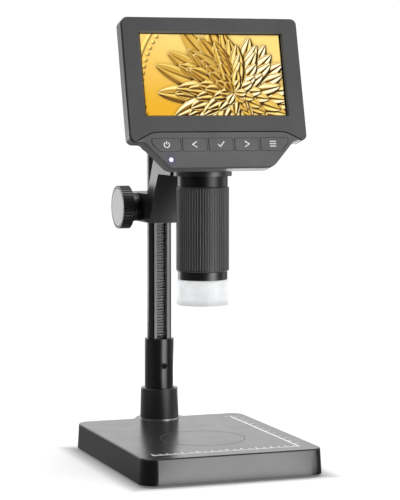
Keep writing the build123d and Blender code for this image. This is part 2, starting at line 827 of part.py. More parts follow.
with BuildPart() as focus_sleeve:
    with BuildSketch(level_on(sleeve_bottom_z, axis_y)):
        Circle(sleeve_radius)
        Circle(tube_radius + running_gap, mode=Mode.SUBTRACT)
    extrude(amount=sleeve_top_z - sleeve_bottom_z)
    rib_end = 1.0
    rim_edges = focus_sleeve.edges().filter_by(GeomType.CIRCLE).filter_by(
        lambda e: e.radius > sleeve_radius - seat_gap
    )
    chamfer(rim_edges, rib_end / 2)
    with BuildSketch(level_on(sleeve_bottom_z + rib_end, axis_y)):
        with PolarLocations(sleeve_radius + sleeve_rib_radius / 3, sleeve_ribs):
            Circle(sleeve_rib_radius)
    extrude(amount=sleeve_top_z - sleeve_bottom_z - 2 * rib_end, mode=Mode.SUBTRACT)
    groove_line = groove_path()
    groove_half = pin_radius + move_gap
    outward = (groove_line @ 0) - Vector(0, axis_y, groove_start_z)
    with BuildSketch(Plane(origin=groove_line @ 0, x_dir=outward, z_dir=groove_line % 0)):
        with Locations((groove_depth / 2 - seat_gap, 0)):
            Rectangle(groove_depth + 2 * running_gap, 2 * groove_half)
    sweep(path=groove_line, is_frenet=True, mode=Mode.SUBTRACT)
finish_part(focus_sleeve, "focus_sleeve")

with BuildPart() as barrel_tube:
    tube_bottom_z = led_board_top_z
    with BuildSketch(turned_at(axis_y)):
        with BuildLine():
            Polyline(
                (tube_bore, tube_bottom_z),
                (tube_radius, tube_bottom_z),
                (tube_radius, neck_bottom_z),
                (neck_radius, neck_bottom_z),
                (neck_radius, spigot_bottom_z),
                (tube_radius, spigot_bottom_z),
                (tube_radius, spigot_bottom_z + tube_spigot),
                (tube_bore, spigot_bottom_z + tube_spigot),
                close=True,
            )
        make_face()
    revolve(axis=upright_axis(axis_y))
    slot_half = focus_travel + pin_radius + groove_margin / 2
    with BuildSketch(Plane.XZ.offset(-axis_y)):
        with Locations((0, cell_mid_z)):
            SlotOverall(2 * slot_half, 2 * slot_radius, rotation=90)
    extrude(amount=tube_radius + running_gap, mode=Mode.SUBTRACT)
finish_part(barrel_tube, "barrel_tube")

with BuildPart() as light_ring:
    ring_seat = led_board_top_z - led_board_thickness
    with BuildSketch(turned_at(axis_y)):
        with BuildLine():
            Polyline(
                (diffuser_radius - diffuser_wall * 2, light_ring_bottom_z),
                (light_ring_radius, light_ring_bottom_z),
                (light_ring_radius, light_ring_top_z),
                (tube_radius + seat_gap, light_ring_top_z),
                (tube_radius + seat_gap, ring_seat),
                (diffuser_radius - diffuser_wall * 2, ring_seat),
                close=True,
            )
        make_face()
    revolve(axis=upright_axis(axis_y))
finish_part(light_ring, "light_ring")

with BuildPart() as led_ring_board:
    with BuildSketch(level_on(ring_seat, axis_y)):
        Circle(tube_radius)
        Circle(led_board_bore, mode=Mode.SUBTRACT)
    extrude(amount=led_board_thickness)
finish_part(led_ring_board, "led_ring_board")

with BuildPart() as ring_leds:
    with BuildSketch(level_on(ring_seat, axis_y)):
        with PolarLocations(led_circle, led_count):
            Rectangle(led_size, led_size)
    extrude(amount=-led_height)
finish_part(ring_leds, "ring_leds")

with BuildPart() as diffuser_cap:
    lip_radius = diffuser_radius - diffuser_wall * 2 - seat_gap
    cap_inner = diffuser_radius - diffuser_wall
    with BuildSketch(turned_at(axis_y)):
        with BuildLine():
            Polyline(
                (cap_inner, diffuser_bottom_z),
                (diffuser_radius, diffuser_bottom_z),
                (diffuser_radius, light_ring_bottom_z - diffuser_chamfer),
                (diffuser_radius - diffuser_chamfer, light_ring_bottom_z),
                (lip_radius, light_ring_bottom_z),
                (lip_radius, light_ring_bottom_z + diffuser_lip),
                (lip_radius - diffuser_wall / 2, light_ring_bottom_z + diffuser_lip),
                (lip_radius - diffuser_wall / 2, light_ring_bottom_z),
                (diffuser_bore, light_ring_bottom_z),
                (diffuser_bore, light_ring_bottom_z - diffuser_roof),
                (cap_inner, light_ring_bottom_z - diffuser_roof),
                close=True,
            )
        make_face()
    revolve(axis=upright_axis(axis_y))
finish_part(diffuser_cap, "diffuser_cap")

# ---- Lens cell --------------------------------------------------------------------------------
cell_bottom_z = cell_mid_z - cell_length / 2
cell_top_z = cell_mid_z + cell_length / 2
cell_radius = tube_bore - running_gap

with BuildPart() as lens_carrier:
    with BuildSketch(turned_at(axis_y)):
        with BuildLine():
            Polyline(
                (retainer_bore, cell_bottom_z),
                (cell_radius, cell_bottom_z),
                (cell_radius, cell_top_z),
                (lens_radius + seat_gap, cell_top_z),
                (lens_radius + seat_gap, cell_bottom_z + lens_seat),
                (retainer_bore, cell_bottom_z + lens_seat),
                close=True,
            )
        make_face()
    revolve(axis=upright_axis(axis_y))
    with BuildSketch(Plane.XZ.offset(-axis_y)):
        with Locations((0, cell_mid_z)):
            Circle(pin_radius + seat_gap)
    extrude(amount=cell_radius + running_gap, mode=Mode.SUBTRACT)
finish_part(lens_carrier, "lens_carrier")

pin_inner = lens_radius + seat_gap + pin_wall
pin_outer = tube_radius + groove_depth - move_gap

with BuildPart() as guide_pin:
    with BuildSketch(Plane.XZ.offset(pin_inner - axis_y)):
        with Locations((0, cell_mid_z)):
            Circle(pin_radius)
    extrude(amount=pin_outer - pin_inner)
finish_part(guide_pin, "guide_pin")


crown_radius = retainer_bore - seat_gap


def crown_arc(height, rise):
    """Arc of a lens crown, from the optical axis out to its flat edge band."""
    curvature = (crown_radius**2 + rise**2) / (2 * rise)
    half_turn = math.asin(crown_radius / abs(curvature)) / 2
    fall = curvature * (1 - math.cos(half_turn))
    middle = (abs(curvature) * math.sin(half_turn), height + rise - fall)
    return (0, height + rise), middle, (crown_radius, height)


def lens_profile(bottom, edge):
    """Half section of a lens: a flat-edged band between a lower and an upper crown."""
    top = bottom + edge
    with BuildSketch(turned_at(axis_y)) as half:
        with BuildLine():
            ThreePointArc(*crown_arc(top, lens_sag))
            Polyline((crown_radius, top), (lens_radius, top), (lens_radius, bottom), (crown_radius, bottom))
            ThreePointArc(*crown_arc(bottom, -lens_sag))
            Line((0, bottom - lens_sag), (0, top + lens_sag))
        make_face()
    return half.sketch


front_lens_z = cell_bottom_z + lens_seat
spacer_z = front_lens_z + front_lens_edge
rear_lens_z = cell_top_z - retainer_length - rear_lens_edge

with BuildPart() as front_lens:
    add(lens_profile(front_lens_z, front_lens_edge))
    revolve(axis=upright_axis(axis_y))
finish_part(front_lens, "front_lens")

with BuildPart() as rear_lens:
    add(lens_profile(rear_lens_z, rear_lens_edge))
    revolve(axis=upright_axis(axis_y))
finish_part(rear_lens, "rear_lens")

with BuildPart() as lens_spacer:
    with BuildSketch(level_on(spacer_z, axis_y)):
        Circle(lens_radius)
        Circle(retainer_bore, mode=Mode.SUBTRACT)
    extrude(amount=rear_lens_z - spacer_z)
finish_part(lens_spacer, "lens_spacer")

with BuildPart() as lens_retainer:
    with BuildSketch(level_on(cell_top_z - retainer_length, axis_y)):
        Circle(lens_radius)
        Circle(retainer_bore, mode=Mode.SUBTRACT)
    extrude(amount=retainer_length)
finish_part(lens_retainer, "lens_retainer")

# ---- Head case --------------------------------------------------------------------------------
panel_height = panel_top - panel_bottom
panel_mid = (panel_top + panel_bottom) / 2


def fascia_outline(grow):
    """Front view of the button fascia: arched top seam, shoulders, sloping sides, flat foot."""
    right = [
        (seam_half_width, seam_top),
        (seam_end, panel_bottom),
        (fascia_shoulder_half, panel_bottom),
        (fascia_bottom_half, fascia_bottom),
    ]
    left = [(-u, v) for u, v in reversed(right)]
    with BuildSketch() as outline:
        with BuildLine():
            Polyline(*right, *left, close=True)
        make_face()
        for radius, level_v, half in (
            (seam_blend, seam_top, seam_half_width),
            (shoulder_blend, panel_bottom, fascia_shoulder_half),
            (fascia_blend, fascia_bottom, fascia_bottom_half),
        ):
            fillet(
                outline.vertices().filter_by(
                    lambda p, v=level_v, h=half: abs(p.Y - v) < seat_gap and abs(abs(p.X) - h) < seat_gap
                ),
                radius,
            )
        if grow:
            offset(amount=grow, kind=Kind.INTERSECTION)
    return outline.sketch


def panel_outline(inset):
    """Front view of the display panel's rounded rectangle."""
    with BuildSketch() as outline:
        with Locations((0, panel_mid)):
            RectangleRounded(head_width - 2 * inset, panel_height - 2 * inset, panel_corner - inset)
    return outline.sketch


def case_outline(inset):
    """Front view of the case behind the bezel and the fascia."""
    with BuildSketch() as outline:
        add(panel_outline(inset))
        add(fascia_outline(-inset))
    return outline.sketch


corner_bosses = [(sx * corner_boss_u, v) for sx in (-1, 1) for v in (corner_boss_bottom, corner_boss_top)]
fascia_bosses = [(sx * fascia_boss_u, fascia_boss_v) for sx in (-1, 1)]

with BuildPart() as display_bezel:
    with BuildSketch(screen_plane(-bezel_back)):
        add(panel_outline(0))
    extrude(amount=bezel_rise + bezel_back)
    front_face = display_bezel.faces().sort_by(Axis(screen_centre, screen_normal))[-1]
    fillet(front_face.edges(), panel_round)
    with BuildSketch(screen_plane(-bezel_back)):
        add(fascia_outline(seam_width / 2))
        with Locations((0, panel_bottom - panel_corner)):
            Rectangle(2 * seam_half_width, 2 * panel_corner)
    extrude(amount=bezel_rise + bezel_back, mode=Mode.SUBTRACT)
    with BuildSketch(screen_plane(bezel_rise)):
        with Locations((0, -opening_drop)):
            RectangleRounded(opening_width, opening_height, panel_round)
    extrude(amount=-bezel_rise, taper=opening_taper, mode=Mode.SUBTRACT)
    with BuildSketch(screen_plane(-bezel_back)):
        with Locations((0, -opening_drop)):
            Rectangle(glass_width + 2 * seat_gap, glass_height + 2 * seat_gap)
    extrude(amount=bezel_back, mode=Mode.SUBTRACT)
    with BuildSketch(screen_plane(-bezel_back)):
        with Locations(*corner_bosses):
            Circle(corner_boss_radius)
    extrude(amount=body_floor + bezel_back)
    with BuildSketch(screen_plane(body_floor)):
        with Locations(*corner_bosses):
            Circle(screw_radius + seat_gap)
    extrude(amount=screw_length, mode=Mode.SUBTRACT)
finish_part(display_bezel, "display_bezel")

select_edge = select_half_width
inner_edge = select_edge + button_gap
outer_edge = inner_edge + inner_button_width + button_gap
outer_button_width = fascia_shoulder_half - button_side - outer_edge


def button_outline(name, grow):
    """Front view of one button cap; the outer caps lose the corner beside the sloping side."""
    far = outer_edge + outer_button_width
    low = button_bottom
    box = lambda a, b: [(a, low), (b, low), (b, button_top), (a, button_top)]
    right_end = [(outer_edge, low), (far - outer_button_cut, low), (far, low + outer_button_cut),
                 (far, button_top), (outer_edge, button_top)]
    shapes = {
        "power_button": [(-u, v) for u, v in reversed(right_end)],
        "previous_button": box(-inner_edge - inner_button_width, -inner_edge),
        "select_button": box(-select_edge, select_edge),
        "next_button": box(inner_edge, inner_edge + inner_button_width),
        "menu_button": right_end,
    }
    with BuildSketch() as outline:
        with BuildLine():
            Polyline(*shapes[name], close=True)
        make_face()
        fillet(outline.vertices(), button_round)
        if grow:
            offset(amount=grow)
    return outline.sketch


button_names = ("power_button", "previous_button", "select_button", "next_button", "menu_button")
button_middle = (button_top + button_bottom) / 2
button_centres = {
    "power_button": -outer_edge - outer_button_width / 2,
    "previous_button": -inner_edge - inner_button_width / 2,
    "select_button": 0,
    "next_button": inner_edge + inner_button_width / 2,
    "menu_button": outer_edge + outer_button_width / 2,
}

with BuildPart() as control_fascia:
    with BuildSketch(screen_plane(-bezel_back)):
        add(fascia_outline(-seam_width / 8))
    extrude(amount=bezel_rise + bezel_back)
    fascia_front = control_fascia.faces().sort_by(Axis(screen_centre, screen_normal))[-1]
    chamfer(fascia_front.edges(), panel_round / 2)
    with BuildSketch(screen_plane(-bezel_back)):
        for name in button_names:
            add(button_outline(name, button_play))
        with Locations((led_lens_u, led_lens_v)):
            Circle(led_lens_radius + seat_gap)
    extrude(amount=bezel_rise + bezel_back, mode=Mode.SUBTRACT)
    with BuildSketch(screen_plane(-bezel_back)):
        with Locations(*fascia_bosses):
            Circle(fascia_boss_radius)
    extrude(amount=button_board_front + bezel_back)
    with BuildSketch(screen_plane(button_board_front)):
        with Locations(*fascia_bosses):
            Circle(corner_boss_radius)
    extrude(amount=body_floor - button_board_front)
    with BuildSketch(screen_plane(body_floor)):
        with Locations(*fascia_bosses):
            Circle(screw_radius + seat_gap)
    extrude(amount=screw_length, mode=Mode.SUBTRACT)
finish_part(control_fascia, "control_fascia")


def hump_profile(inset):
    """Side view of the rear hump, from inside the flat case to its rear face."""
    upper = screen_centre + screen_normal * (bezel_rise - hump_top_depth + inset) + screen_up * hump_top
    inner_top = screen_centre - screen_normal * hump_front_depth + screen_up * (hump_top - inset)
    foot_y = inner_top.Y + (hump_bottom_z - inner_top.Z) * math.tan(tilt)
    rear = axis_y + hump_rear - inset
    return [
        (foot_y, hump_bottom_z + inset),
        (rear, hump_bottom_z + inset),
        (rear, hump_shoulder_z - inset),
        (upper.Y, upper.Z - inset),
        (inner_top.Y, inner_top.Z),
    ]


def hump_block(inset):
    """The hump as a solid, or its hollow when it is drawn in by the wall."""
    with BuildPart() as hump:
        with BuildSketch(side_plane(0)):
            with BuildLine():
                Polyline(*hump_profile(inset), close=True)
            make_face()
        extrude(amount=hump_half_width - inset, both=True)
        rear_edges = hump.edges().filter_by(
            lambda e: e.center().Y > axis_y and e.center().Z < hump_shoulder_z + seat_gap
        )
        foot_edges = hump.edges().filter_by(Axis.Y)
        fillet(rear_edges + foot_edges, hump_round - inset)
    return hump.part


floor_hole = turret_neck_radius + seat_gap
mount_screws_at = [
    (mount_screw_circle * math.cos(math.radians(turn)), mount_screw_circle * math.sin(math.radians(turn)))
    for turn in (30, 150, 270)
]

with BuildPart() as rear_housing:
    add(hump_block(0))
    with BuildSketch(screen_plane(body_back)):
        add(case_outline(body_inset))
    extrude(amount=body_depth - bezel_rise - bezel_back - body_groove)
    with BuildSketch(screen_plane(body_back)):
        add(case_outline(body_inset + body_wall / 2))
    extrude(amount=body_depth - bezel_rise - bezel_back)
    with BuildSketch(screen_plane(body_floor)):
        add(case_outline(body_inset + body_wall))
    extrude(amount=body_depth, mode=Mode.SUBTRACT)
    add(hump_block(body_wall), mode=Mode.SUBTRACT)
    with BuildSketch(level_on(hump_bottom_z, axis_y)):
        Circle(floor_hole)
        with Locations(*mount_screws_at):
            Circle(screw_radius + seat_gap)
    extrude(amount=body_wall, mode=Mode.SUBTRACT)
    with BuildSketch(screen_plane(body_back)):
        with Locations(*corner_bosses, *fascia_bosses):
            Circle(screw_radius + seat_gap)
    extrude(amount=body_wall, mode=Mode.SUBTRACT)
    with BuildSketch(screen_plane(body_back)):
        with Locations(*corner_bosses, *fascia_bosses):
            Circle(screw_head_radius + seat_gap)
    extrude(amount=screw_head_height, mode=Mode.SUBTRACT)
    with BuildSketch(side_plane(head_width / 2 - body_inset - body_wall)):
        for v, width, tall in ((usb_v, usb_width, usb_height), (card_v, card_width, card_height)):
            middle = screen_centre + screen_up * v + screen_normal * (board_back - tall / 2)
            with Locations(Location((middle.Y, middle.Z), -head_tilt)):
                Rectangle(tall + 2 * port_gap, width + 2 * port_gap)
    extrude(amount=body_wall, mode=Mode.SUBTRACT)
finish_part(rear_housing, "rear_housing")

with BuildPart() as housing_screws:
    with BuildSketch(screen_plane(body_back)):
        with Locations(*corner_bosses, *fascia_bosses):
            Circle(screw_head_radius)
    extrude(amount=screw_head_height)
    with BuildSketch(screen_plane(body_back + screw_head_height)):
        with Locations(*corner_bosses, *fascia_bosses):
            Circle(screw_radius)
    extrude(amount=body_wall - screw_head_height + screw_length - bore_floor)
finish_part(housing_screws, "housing_screws")

# ---- Turret between the case and the holder ring -----------------------------------------------
with BuildPart() as barrel_mount:
    neck_top_z = hump_bottom_z + turret_neck
    with BuildSketch(turned_at(axis_y)):
        with BuildLine():
            Polyline(
                (tube_radius + seat_gap, spigot_bottom_z),
                (spigot_radius, spigot_bottom_z),
                (spigot_radius, turret_bottom_z),
                (turret_radius, turret_bottom_z),
                (turret_radius, hump_bottom_z),
                (turret_neck_radius, hump_bottom_z),
                (turret_neck_radius, neck_top_z),
                (turret_bore, neck_top_z),
                (turret_bore, spigot_bottom_z + tube_spigot),
                (tube_radius + seat_gap, spigot_bottom_z + tube_spigot),
                close=True,
            )
        make_face()
    revolve(axis=upright_axis(axis_y))
    with BuildSketch(level_on(hump_bottom_z, axis_y)):
        with Locations(*mount_screws_at):
            Circle(screw_radius + seat_gap)
    extrude(amount=-screw_length, mode=Mode.SUBTRACT)
finish_part(barrel_mount, "barrel_mount")

with BuildPart() as mount_screws:
    with BuildSketch(level_on(hump_bottom_z + body_wall, axis_y)):
        with Locations(*mount_screws_at):
            Circle(screw_head_radius)
    extrude(amount=screw_head_height)
    with BuildSketch(level_on(hump_bottom_z + body_wall, axis_y)):
        with Locations(*mount_screws_at):
            Circle(screw_radius)
    extrude(amount=bore_floor - body_wall - screw_length)
finish_part(mount_screws, "mount_screws")

with BuildPart() as sensor_board:
    with BuildSketch(level_on(neck_top_z, axis_y)):
        Rectangle(sensor_board_size, sensor_board_size)
    extrude(amount=board_thickness)
finish_part(sensor_board, "sensor_board")

with BuildPart() as image_sensor:
    with BuildSketch(level_on(neck_top_z, axis_y)):
        Rectangle(sensor_size, sensor_size)
    extrude(amount=-sensor_thickness)
finish_part(image_sensor, "image_sensor")

# ---- Display and boards -----------------------------------------------------------------------
with BuildPart() as display_glass:
    with BuildSketch(screen_plane(-glass_thickness)):
        with Locations((0, -opening_drop)):
            Rectangle(glass_width, glass_height)
    extrude(amount=glass_thickness)
finish_part(display_glass, "display_glass")

with BuildPart() as lcd_panel:
    with BuildSketch(screen_plane(lcd_back)):
        with Locations((0, -opening_drop)):
            RectangleRounded(lcd_width, lcd_height, panel_round)
    extrude(amount=lcd_thickness)
finish_part(lcd_panel, "lcd_panel")

board_points = [(sx * board_screw_u, board_raise + sv * board_screw_v)
                for sx in (-1, 1) for sv in (-1, 1)]

with BuildPart() as display_carrier:
    with BuildSketch(screen_plane(carrier_back)):
        with Locations((0, -opening_drop)):
            RectangleRounded(lcd_width, lcd_height, panel_round)
    extrude(amount=carrier_thickness)
    with BuildSketch(screen_plane(board_front)):
        with Locations(*board_points):
            Circle(screw_head_radius)
            Circle(screw_radius + seat_gap, mode=Mode.SUBTRACT)
    extrude(amount=board_standoff)
finish_part(display_carrier, "display_carrier")

with BuildPart() as main_board:
    with BuildSketch(screen_plane(board_back)):
        with Locations((0, board_raise)):
            Rectangle(board_width, board_height)
        with Locations(*board_points):
            Circle(screw_radius + seat_gap, mode=Mode.SUBTRACT)
    extrude(amount=board_thickness)
finish_part(main_board, "main_board")

with BuildPart() as board_screws:
    with BuildSketch(screen_plane(board_back - screw_head_height)):
        with Locations(*board_points):
            Circle(screw_head_radius)
    extrude(amount=screw_head_height)
    with BuildSketch(screen_plane(board_back)):
        with Locations(*board_points):
            Circle(screw_radius)
    extrude(amount=board_thickness + board_standoff)
finish_part(board_screws, "board_screws")

port_face = head_width / 2 - body_inset - port_gap / 2

for name, v, width, tall, depth, shell in (
    ("usb_port", usb_v, usb_width, usb_height, usb_depth, 0.3),
    ("card_slot", card_v, card_width, card_height, card_depth, 0.4),
):
    with BuildPart() as port:
        with BuildSketch(screen_plane(board_back - tall)):
            with Locations((port_face - depth / 2, v)):
                Rectangle(depth, width)
        extrude(amount=tall)
        with BuildSketch(screen_plane(board_back - tall + shell)):
            with Locations((port_face - depth / 2 + 2 * shell, v)):
                Rectangle(depth, width - 2 * shell)
        extrude(amount=tall - 2 * shell, mode=Mode.SUBTRACT)
    finish_part(port, name)

with BuildPart() as battery:
    battery_rear_y = axis_y + hump_rear - body_wall
    with BuildSketch(level_on(hump_bottom_z + battery_lift, battery_rear_y - battery_thickness / 2)):
        RectangleRounded(battery_width, battery_thickness, battery_thickness / 4)
    extrude(amount=battery_height)
finish_part(battery, "battery")

# ---- Buttons ----------------------------------------------------------------------------------
for name in button_names:
    with BuildPart() as button:
        with BuildSketch(screen_plane(cap_back)):
            add(button_outline(name, 0))
        extrude(amount=bezel_rise + button_rise - cap_back)
        cap_front = button.faces().sort_by(Axis(screen_centre, screen_normal))[-1]
        fillet(cap_front.edges(), button_rise)
        with BuildSketch(screen_plane(lip_back)):
            add(button_outline(name, button_lip))
            add(fascia_outline(-body_inset - body_wall - move_gap), mode=Mode.INTERSECT)
        extrude(amount=button_lip_thickness)
        with BuildSketch(screen_plane(stem_back)):
            with Locations((button_centres[name], button_middle)):
                Circle(button_stem_radius)
        extrude(amount=button_stem)
    finish_part(button, name)

with BuildPart() as tact_switches:
    with BuildSketch(screen_plane(button_board_front)):
        for centre in button_centres.values():
            with Locations((centre, button_middle)):
                Rectangle(switch_size, switch_size)
    extrude(amount=switch_height)
    with BuildSketch(screen_plane(switch_front)):
        for centre in button_centres.values():
            with Locations((centre, button_middle)):
                Circle(plunger_radius)
    extrude(amount=plunger_height)
finish_part(tact_switches, "tact_switches")

with BuildPart() as button_board:
    board_high = button_top + button_lip
    with BuildSketch(screen_plane(button_board_back)):
        with Locations((0, board_high - head_width / 2)):
            Rectangle(head_width, head_width)
        add(fascia_outline(-button_board_inset), mode=Mode.INTERSECT)
        with Locations(*fascia_bosses):
            Circle(corner_boss_radius + seat_gap, mode=Mode.SUBTRACT)
    extrude(amount=button_board_thickness)
finish_part(button_board, "button_board")

with BuildPart() as status_led:
    with BuildSketch(screen_plane(button_board_front)):
        with Locations((led_lens_u, led_lens_v)):
            Circle(led_lens_radius)
    extrude(amount=bezel_rise - button_board_front)
finish_part(status_led, "status_led")
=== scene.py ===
import math

import bpy
import numpy as np
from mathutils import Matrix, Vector


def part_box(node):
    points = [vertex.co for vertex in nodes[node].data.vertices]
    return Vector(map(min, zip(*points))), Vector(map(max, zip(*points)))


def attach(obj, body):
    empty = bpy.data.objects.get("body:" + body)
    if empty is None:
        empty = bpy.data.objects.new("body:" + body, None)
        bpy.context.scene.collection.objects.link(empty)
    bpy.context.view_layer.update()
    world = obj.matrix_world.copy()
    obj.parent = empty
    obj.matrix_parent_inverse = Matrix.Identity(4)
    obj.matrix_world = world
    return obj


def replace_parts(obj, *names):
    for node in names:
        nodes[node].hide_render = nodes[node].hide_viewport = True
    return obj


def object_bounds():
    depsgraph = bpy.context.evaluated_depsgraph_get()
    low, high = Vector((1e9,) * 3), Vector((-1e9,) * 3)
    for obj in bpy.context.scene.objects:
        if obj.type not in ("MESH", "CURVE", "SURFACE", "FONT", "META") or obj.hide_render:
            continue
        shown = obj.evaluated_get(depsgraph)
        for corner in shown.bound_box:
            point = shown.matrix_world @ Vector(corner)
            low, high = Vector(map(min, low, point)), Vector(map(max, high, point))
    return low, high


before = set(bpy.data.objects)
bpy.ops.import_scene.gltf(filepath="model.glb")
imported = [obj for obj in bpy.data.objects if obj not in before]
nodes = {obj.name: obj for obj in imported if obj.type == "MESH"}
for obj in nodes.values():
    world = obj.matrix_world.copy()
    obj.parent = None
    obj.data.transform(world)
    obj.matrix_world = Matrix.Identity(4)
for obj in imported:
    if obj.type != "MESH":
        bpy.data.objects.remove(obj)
cad_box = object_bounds()
scene = bpy.context.scene

# Digital microscope on a rack-and-pinion stand. Metres, +Z up, the front towards -Y.
# STAGE_Z is the top face of the base, AXIS_Y the optical axis, SCREEN the centre of the display.

MM = 0.001
STAGE_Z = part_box("base_shell")[1].z
AXIS_Y = sum(corner.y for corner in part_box("diffuser_cap")) / 2
TILT = math.radians(14.5)
MOUNT_INSIDE = 3.4 * MM        # the part of the barrel mount that is inside the case
SCREEN_SETBACK = 21.0 * MM     # screen centre in front of the optical axis
SCREEN_RISE = 50.6 * MM        # screen centre above the underside of the case
SCREEN = Vector((0, AXIS_Y - SCREEN_SETBACK,
                 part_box("barrel_mount")[1].z - MOUNT_INSIDE + SCREEN_RISE))
SCREEN_OUT = Vector((0, -math.cos(TILT), math.sin(TILT)))
SCREEN_UP = Vector((0, math.sin(TILT), math.cos(TILT)))
OPENING_V = -0.5               # in mm: opening of the frame above the screen centre
UP, RIGHT, FORWARD = (0, 0, 1), (1, 0, 0), (0, -1, 0)
STAGE = (0, 0, STAGE_Z)


# ---- Shader maths -----------------------------------------------------------------------------
class Wire:
    """One shader value. Arithmetic on it adds Math nodes to the finish that it belongs to."""

    def __init__(self, finish, socket):
        self.finish, self.socket = finish, socket

    def maths(self, operation, *values):
        return self.finish.add("ShaderNodeMath", {"operation": operation}, *values)

    def __add__(self, other):
        return self.maths("ADD", self, other)

    __radd__ = __add__

    def __sub__(self, other):
        return self.maths("SUBTRACT", self, other)

    def __rsub__(self, other):
        return self.maths("SUBTRACT", other, self)

    def __mul__(self, other):
        return self.maths("MULTIPLY", self, other)

    __rmul__ = __mul__

    def __truediv__(self, other):
        return self.maths("DIVIDE", self, other)

    def __pow__(self, other):
        return self.maths("POWER", self, other)

    def larger(self, other):
        return self.maths("MAXIMUM", self, other)

    def size(self):
        """The value without its sign."""
        return self.larger(self * -1)

    def step(self, low, high):
        """Smooth ramp from 0 at low to 1 at high."""
        return self.finish.add(
            "ShaderNodeMapRange", {"interpolation_type": "SMOOTHSTEP", "clamp": True},
            self, low, high, 0.0, 1.0)

    def band(self, rise, fall):
        """Smooth ramp from 0 up to 1 over one pair of values, and down again over another."""
        return self.step(*rise) * (1 - self.step(*fall))


class Finish:
    """A material under one name: a Principled surface and the nodes that vary it."""

    def __init__(self, name, colour, roughness, **sockets):
        self.material = bpy.data.materials.new(name)
        self.material.use_nodes = True
        self.tree = self.material.node_tree
        self.shader = self.tree.nodes["Principled BSDF"]
        self.set("Base Color", (*colour, 1.0))
        self.set("Roughness", roughness)
        for socket, value in sockets.items():
            self.set(socket.replace("_", " "), value)
        self.material.diffuse_color = (*colour, 1.0)

    def set(self, socket, value):
        """Feeds one socket of the surface with a number, a colour or a wire."""
        if isinstance(value, Wire):
            self.tree.links.new(value.socket, self.shader.inputs[socket])
        else:
            self.shader.inputs[socket].default_value = value

    def add(self, kind, settings, *values, out=0, **named):
        """Adds a node: its settings first, then the values or wires of its sockets."""
        node = self.tree.nodes.new(kind)
        for key, value in settings.items():
            setattr(node, key, value)
        pairs = list(zip(node.inputs, values))
        pairs += [(node.inputs[key.replace("_", " ")], value) for key, value in named.items()]
        for socket, value in pairs:
            if isinstance(value, Wire):
                self.tree.links.new(value.socket, socket)
            elif value is not None:
                socket.default_value = value
        return Wire(self, node.outputs[out])

    def place(self):
        """Object coordinates, in metres."""
        return self.add("ShaderNodeTexCoord", {}, out=3)

    def parts(self, where):
        """The X, Y and Z of a place."""
        node = self.tree.nodes.new("ShaderNodeSeparateXYZ")
        self.tree.links.new(where.socket, node.inputs[0])
        return [Wire(self, socket) for socket in node.outputs]

    def about(self, centre):
        """Object coordinates measured from a centre."""
        return self.add("ShaderNodeVectorMath", {"operation": "SUBTRACT"}, self.place(), centre)

    def along(self, centre, direction):
        """How far a place lies from a centre along a direction."""
        return self.add("ShaderNodeVectorMath", {"operation": "DOT_PRODUCT"},
                        self.about(centre), direction, out=1)

    def stretched(self, scale):
        """Object coordinates, scaled along each axis."""
        return self.add("ShaderNodeMapping", {}, self.place(), Scale=scale)

    def noise(self, where, scale, detail=2.0):
        return self.add("ShaderNodeTexNoise", {}, Vector=where, Scale=scale, Detail=detail,
                        Roughness=0.5)

    def mix(self, share, low, high):
        """Colour between two colours by a share from 0 to 1."""
        node = self.tree.nodes.new("ShaderNodeMix")
        node.data_type = "RGBA"
        for index, value in ((0, share), (6, low), (7, high)):
            socket = node.inputs[index]
            if isinstance(value, Wire):
                self.tree.links.new(value.socket, socket)
            else:
                socket.default_value = (*value, 1.0) if isinstance(value, tuple) else value
        return Wire(self, node.outputs[2])

    def over(self, zones, colour, rough):
        """Colour and roughness under zones: each has a share over the surface, the colour that it
        brings and the roughness that it adds."""
        for share_of, zone_colour, gain in zones:
            share = share_of(self)
            colour, rough = self.mix(share, colour, zone_colour), rough + share * gain
        return colour, rough

    def bump(self, height, depth):
        """Raises the surface by height times depth, in metres."""
        self.set("Normal", self.add(
            "ShaderNodeBump", {}, Strength=1.0, Distance=depth, Height=height))


PLAIN = (1.0, 1.0, 1.0)


def tone(level, tint=PLAIN):
    """Linear colour of a grey given on the 0 to 255 display scale, with a slight tint."""
    share = level / 255.0
    linear = share / 12.92 if share <= 0.04045 else ((share + 0.055) / 1.055) ** 2.4
    return tuple(linear * t for t in tint)


# ---- Finishes ---------------------------------------------------------------------------------
def moulded_plastic(name, level, roughness, grain=0.35, relief=0.010, tint=PLAIN, zones=(),
                    **more):
    """Moulded plastic: spark-eroded grain of a size in mm, faint flow marks and cloudy gloss."""
    finish = Finish(name, tone(level, tint), roughness, **more)
    where = finish.place()
    cells = finish.add("ShaderNodeTexVoronoi", {"feature": "SMOOTH_F1"}, Vector=where,
                       Scale=1.0 / (grain * MM), Smoothness=0.6)
    fine = finish.noise(where, 2.3 / (grain * MM), 1.0)
    cloud = finish.noise(where, 55.0, 3.0)
    flow = finish.noise(finish.stretched((60, 60, 14)), 1.0, 2.0)
    shade = cloud * 0.6 + flow * 0.4
    colour = finish.mix(shade.step(0.3, 0.7), tone(level * 0.93, tint), tone(level * 1.06, tint))
    rough = roughness + (cloud - 0.5) * 0.10 + (fine - 0.5) * 0.05
    colour, rough = finish.over(zones, colour, rough)
    finish.set("Base Color", colour)
    finish.set("Roughness", rough)
    finish.bump(cells * 0.7 + fine * 0.3, relief * MM)
    return finish.material


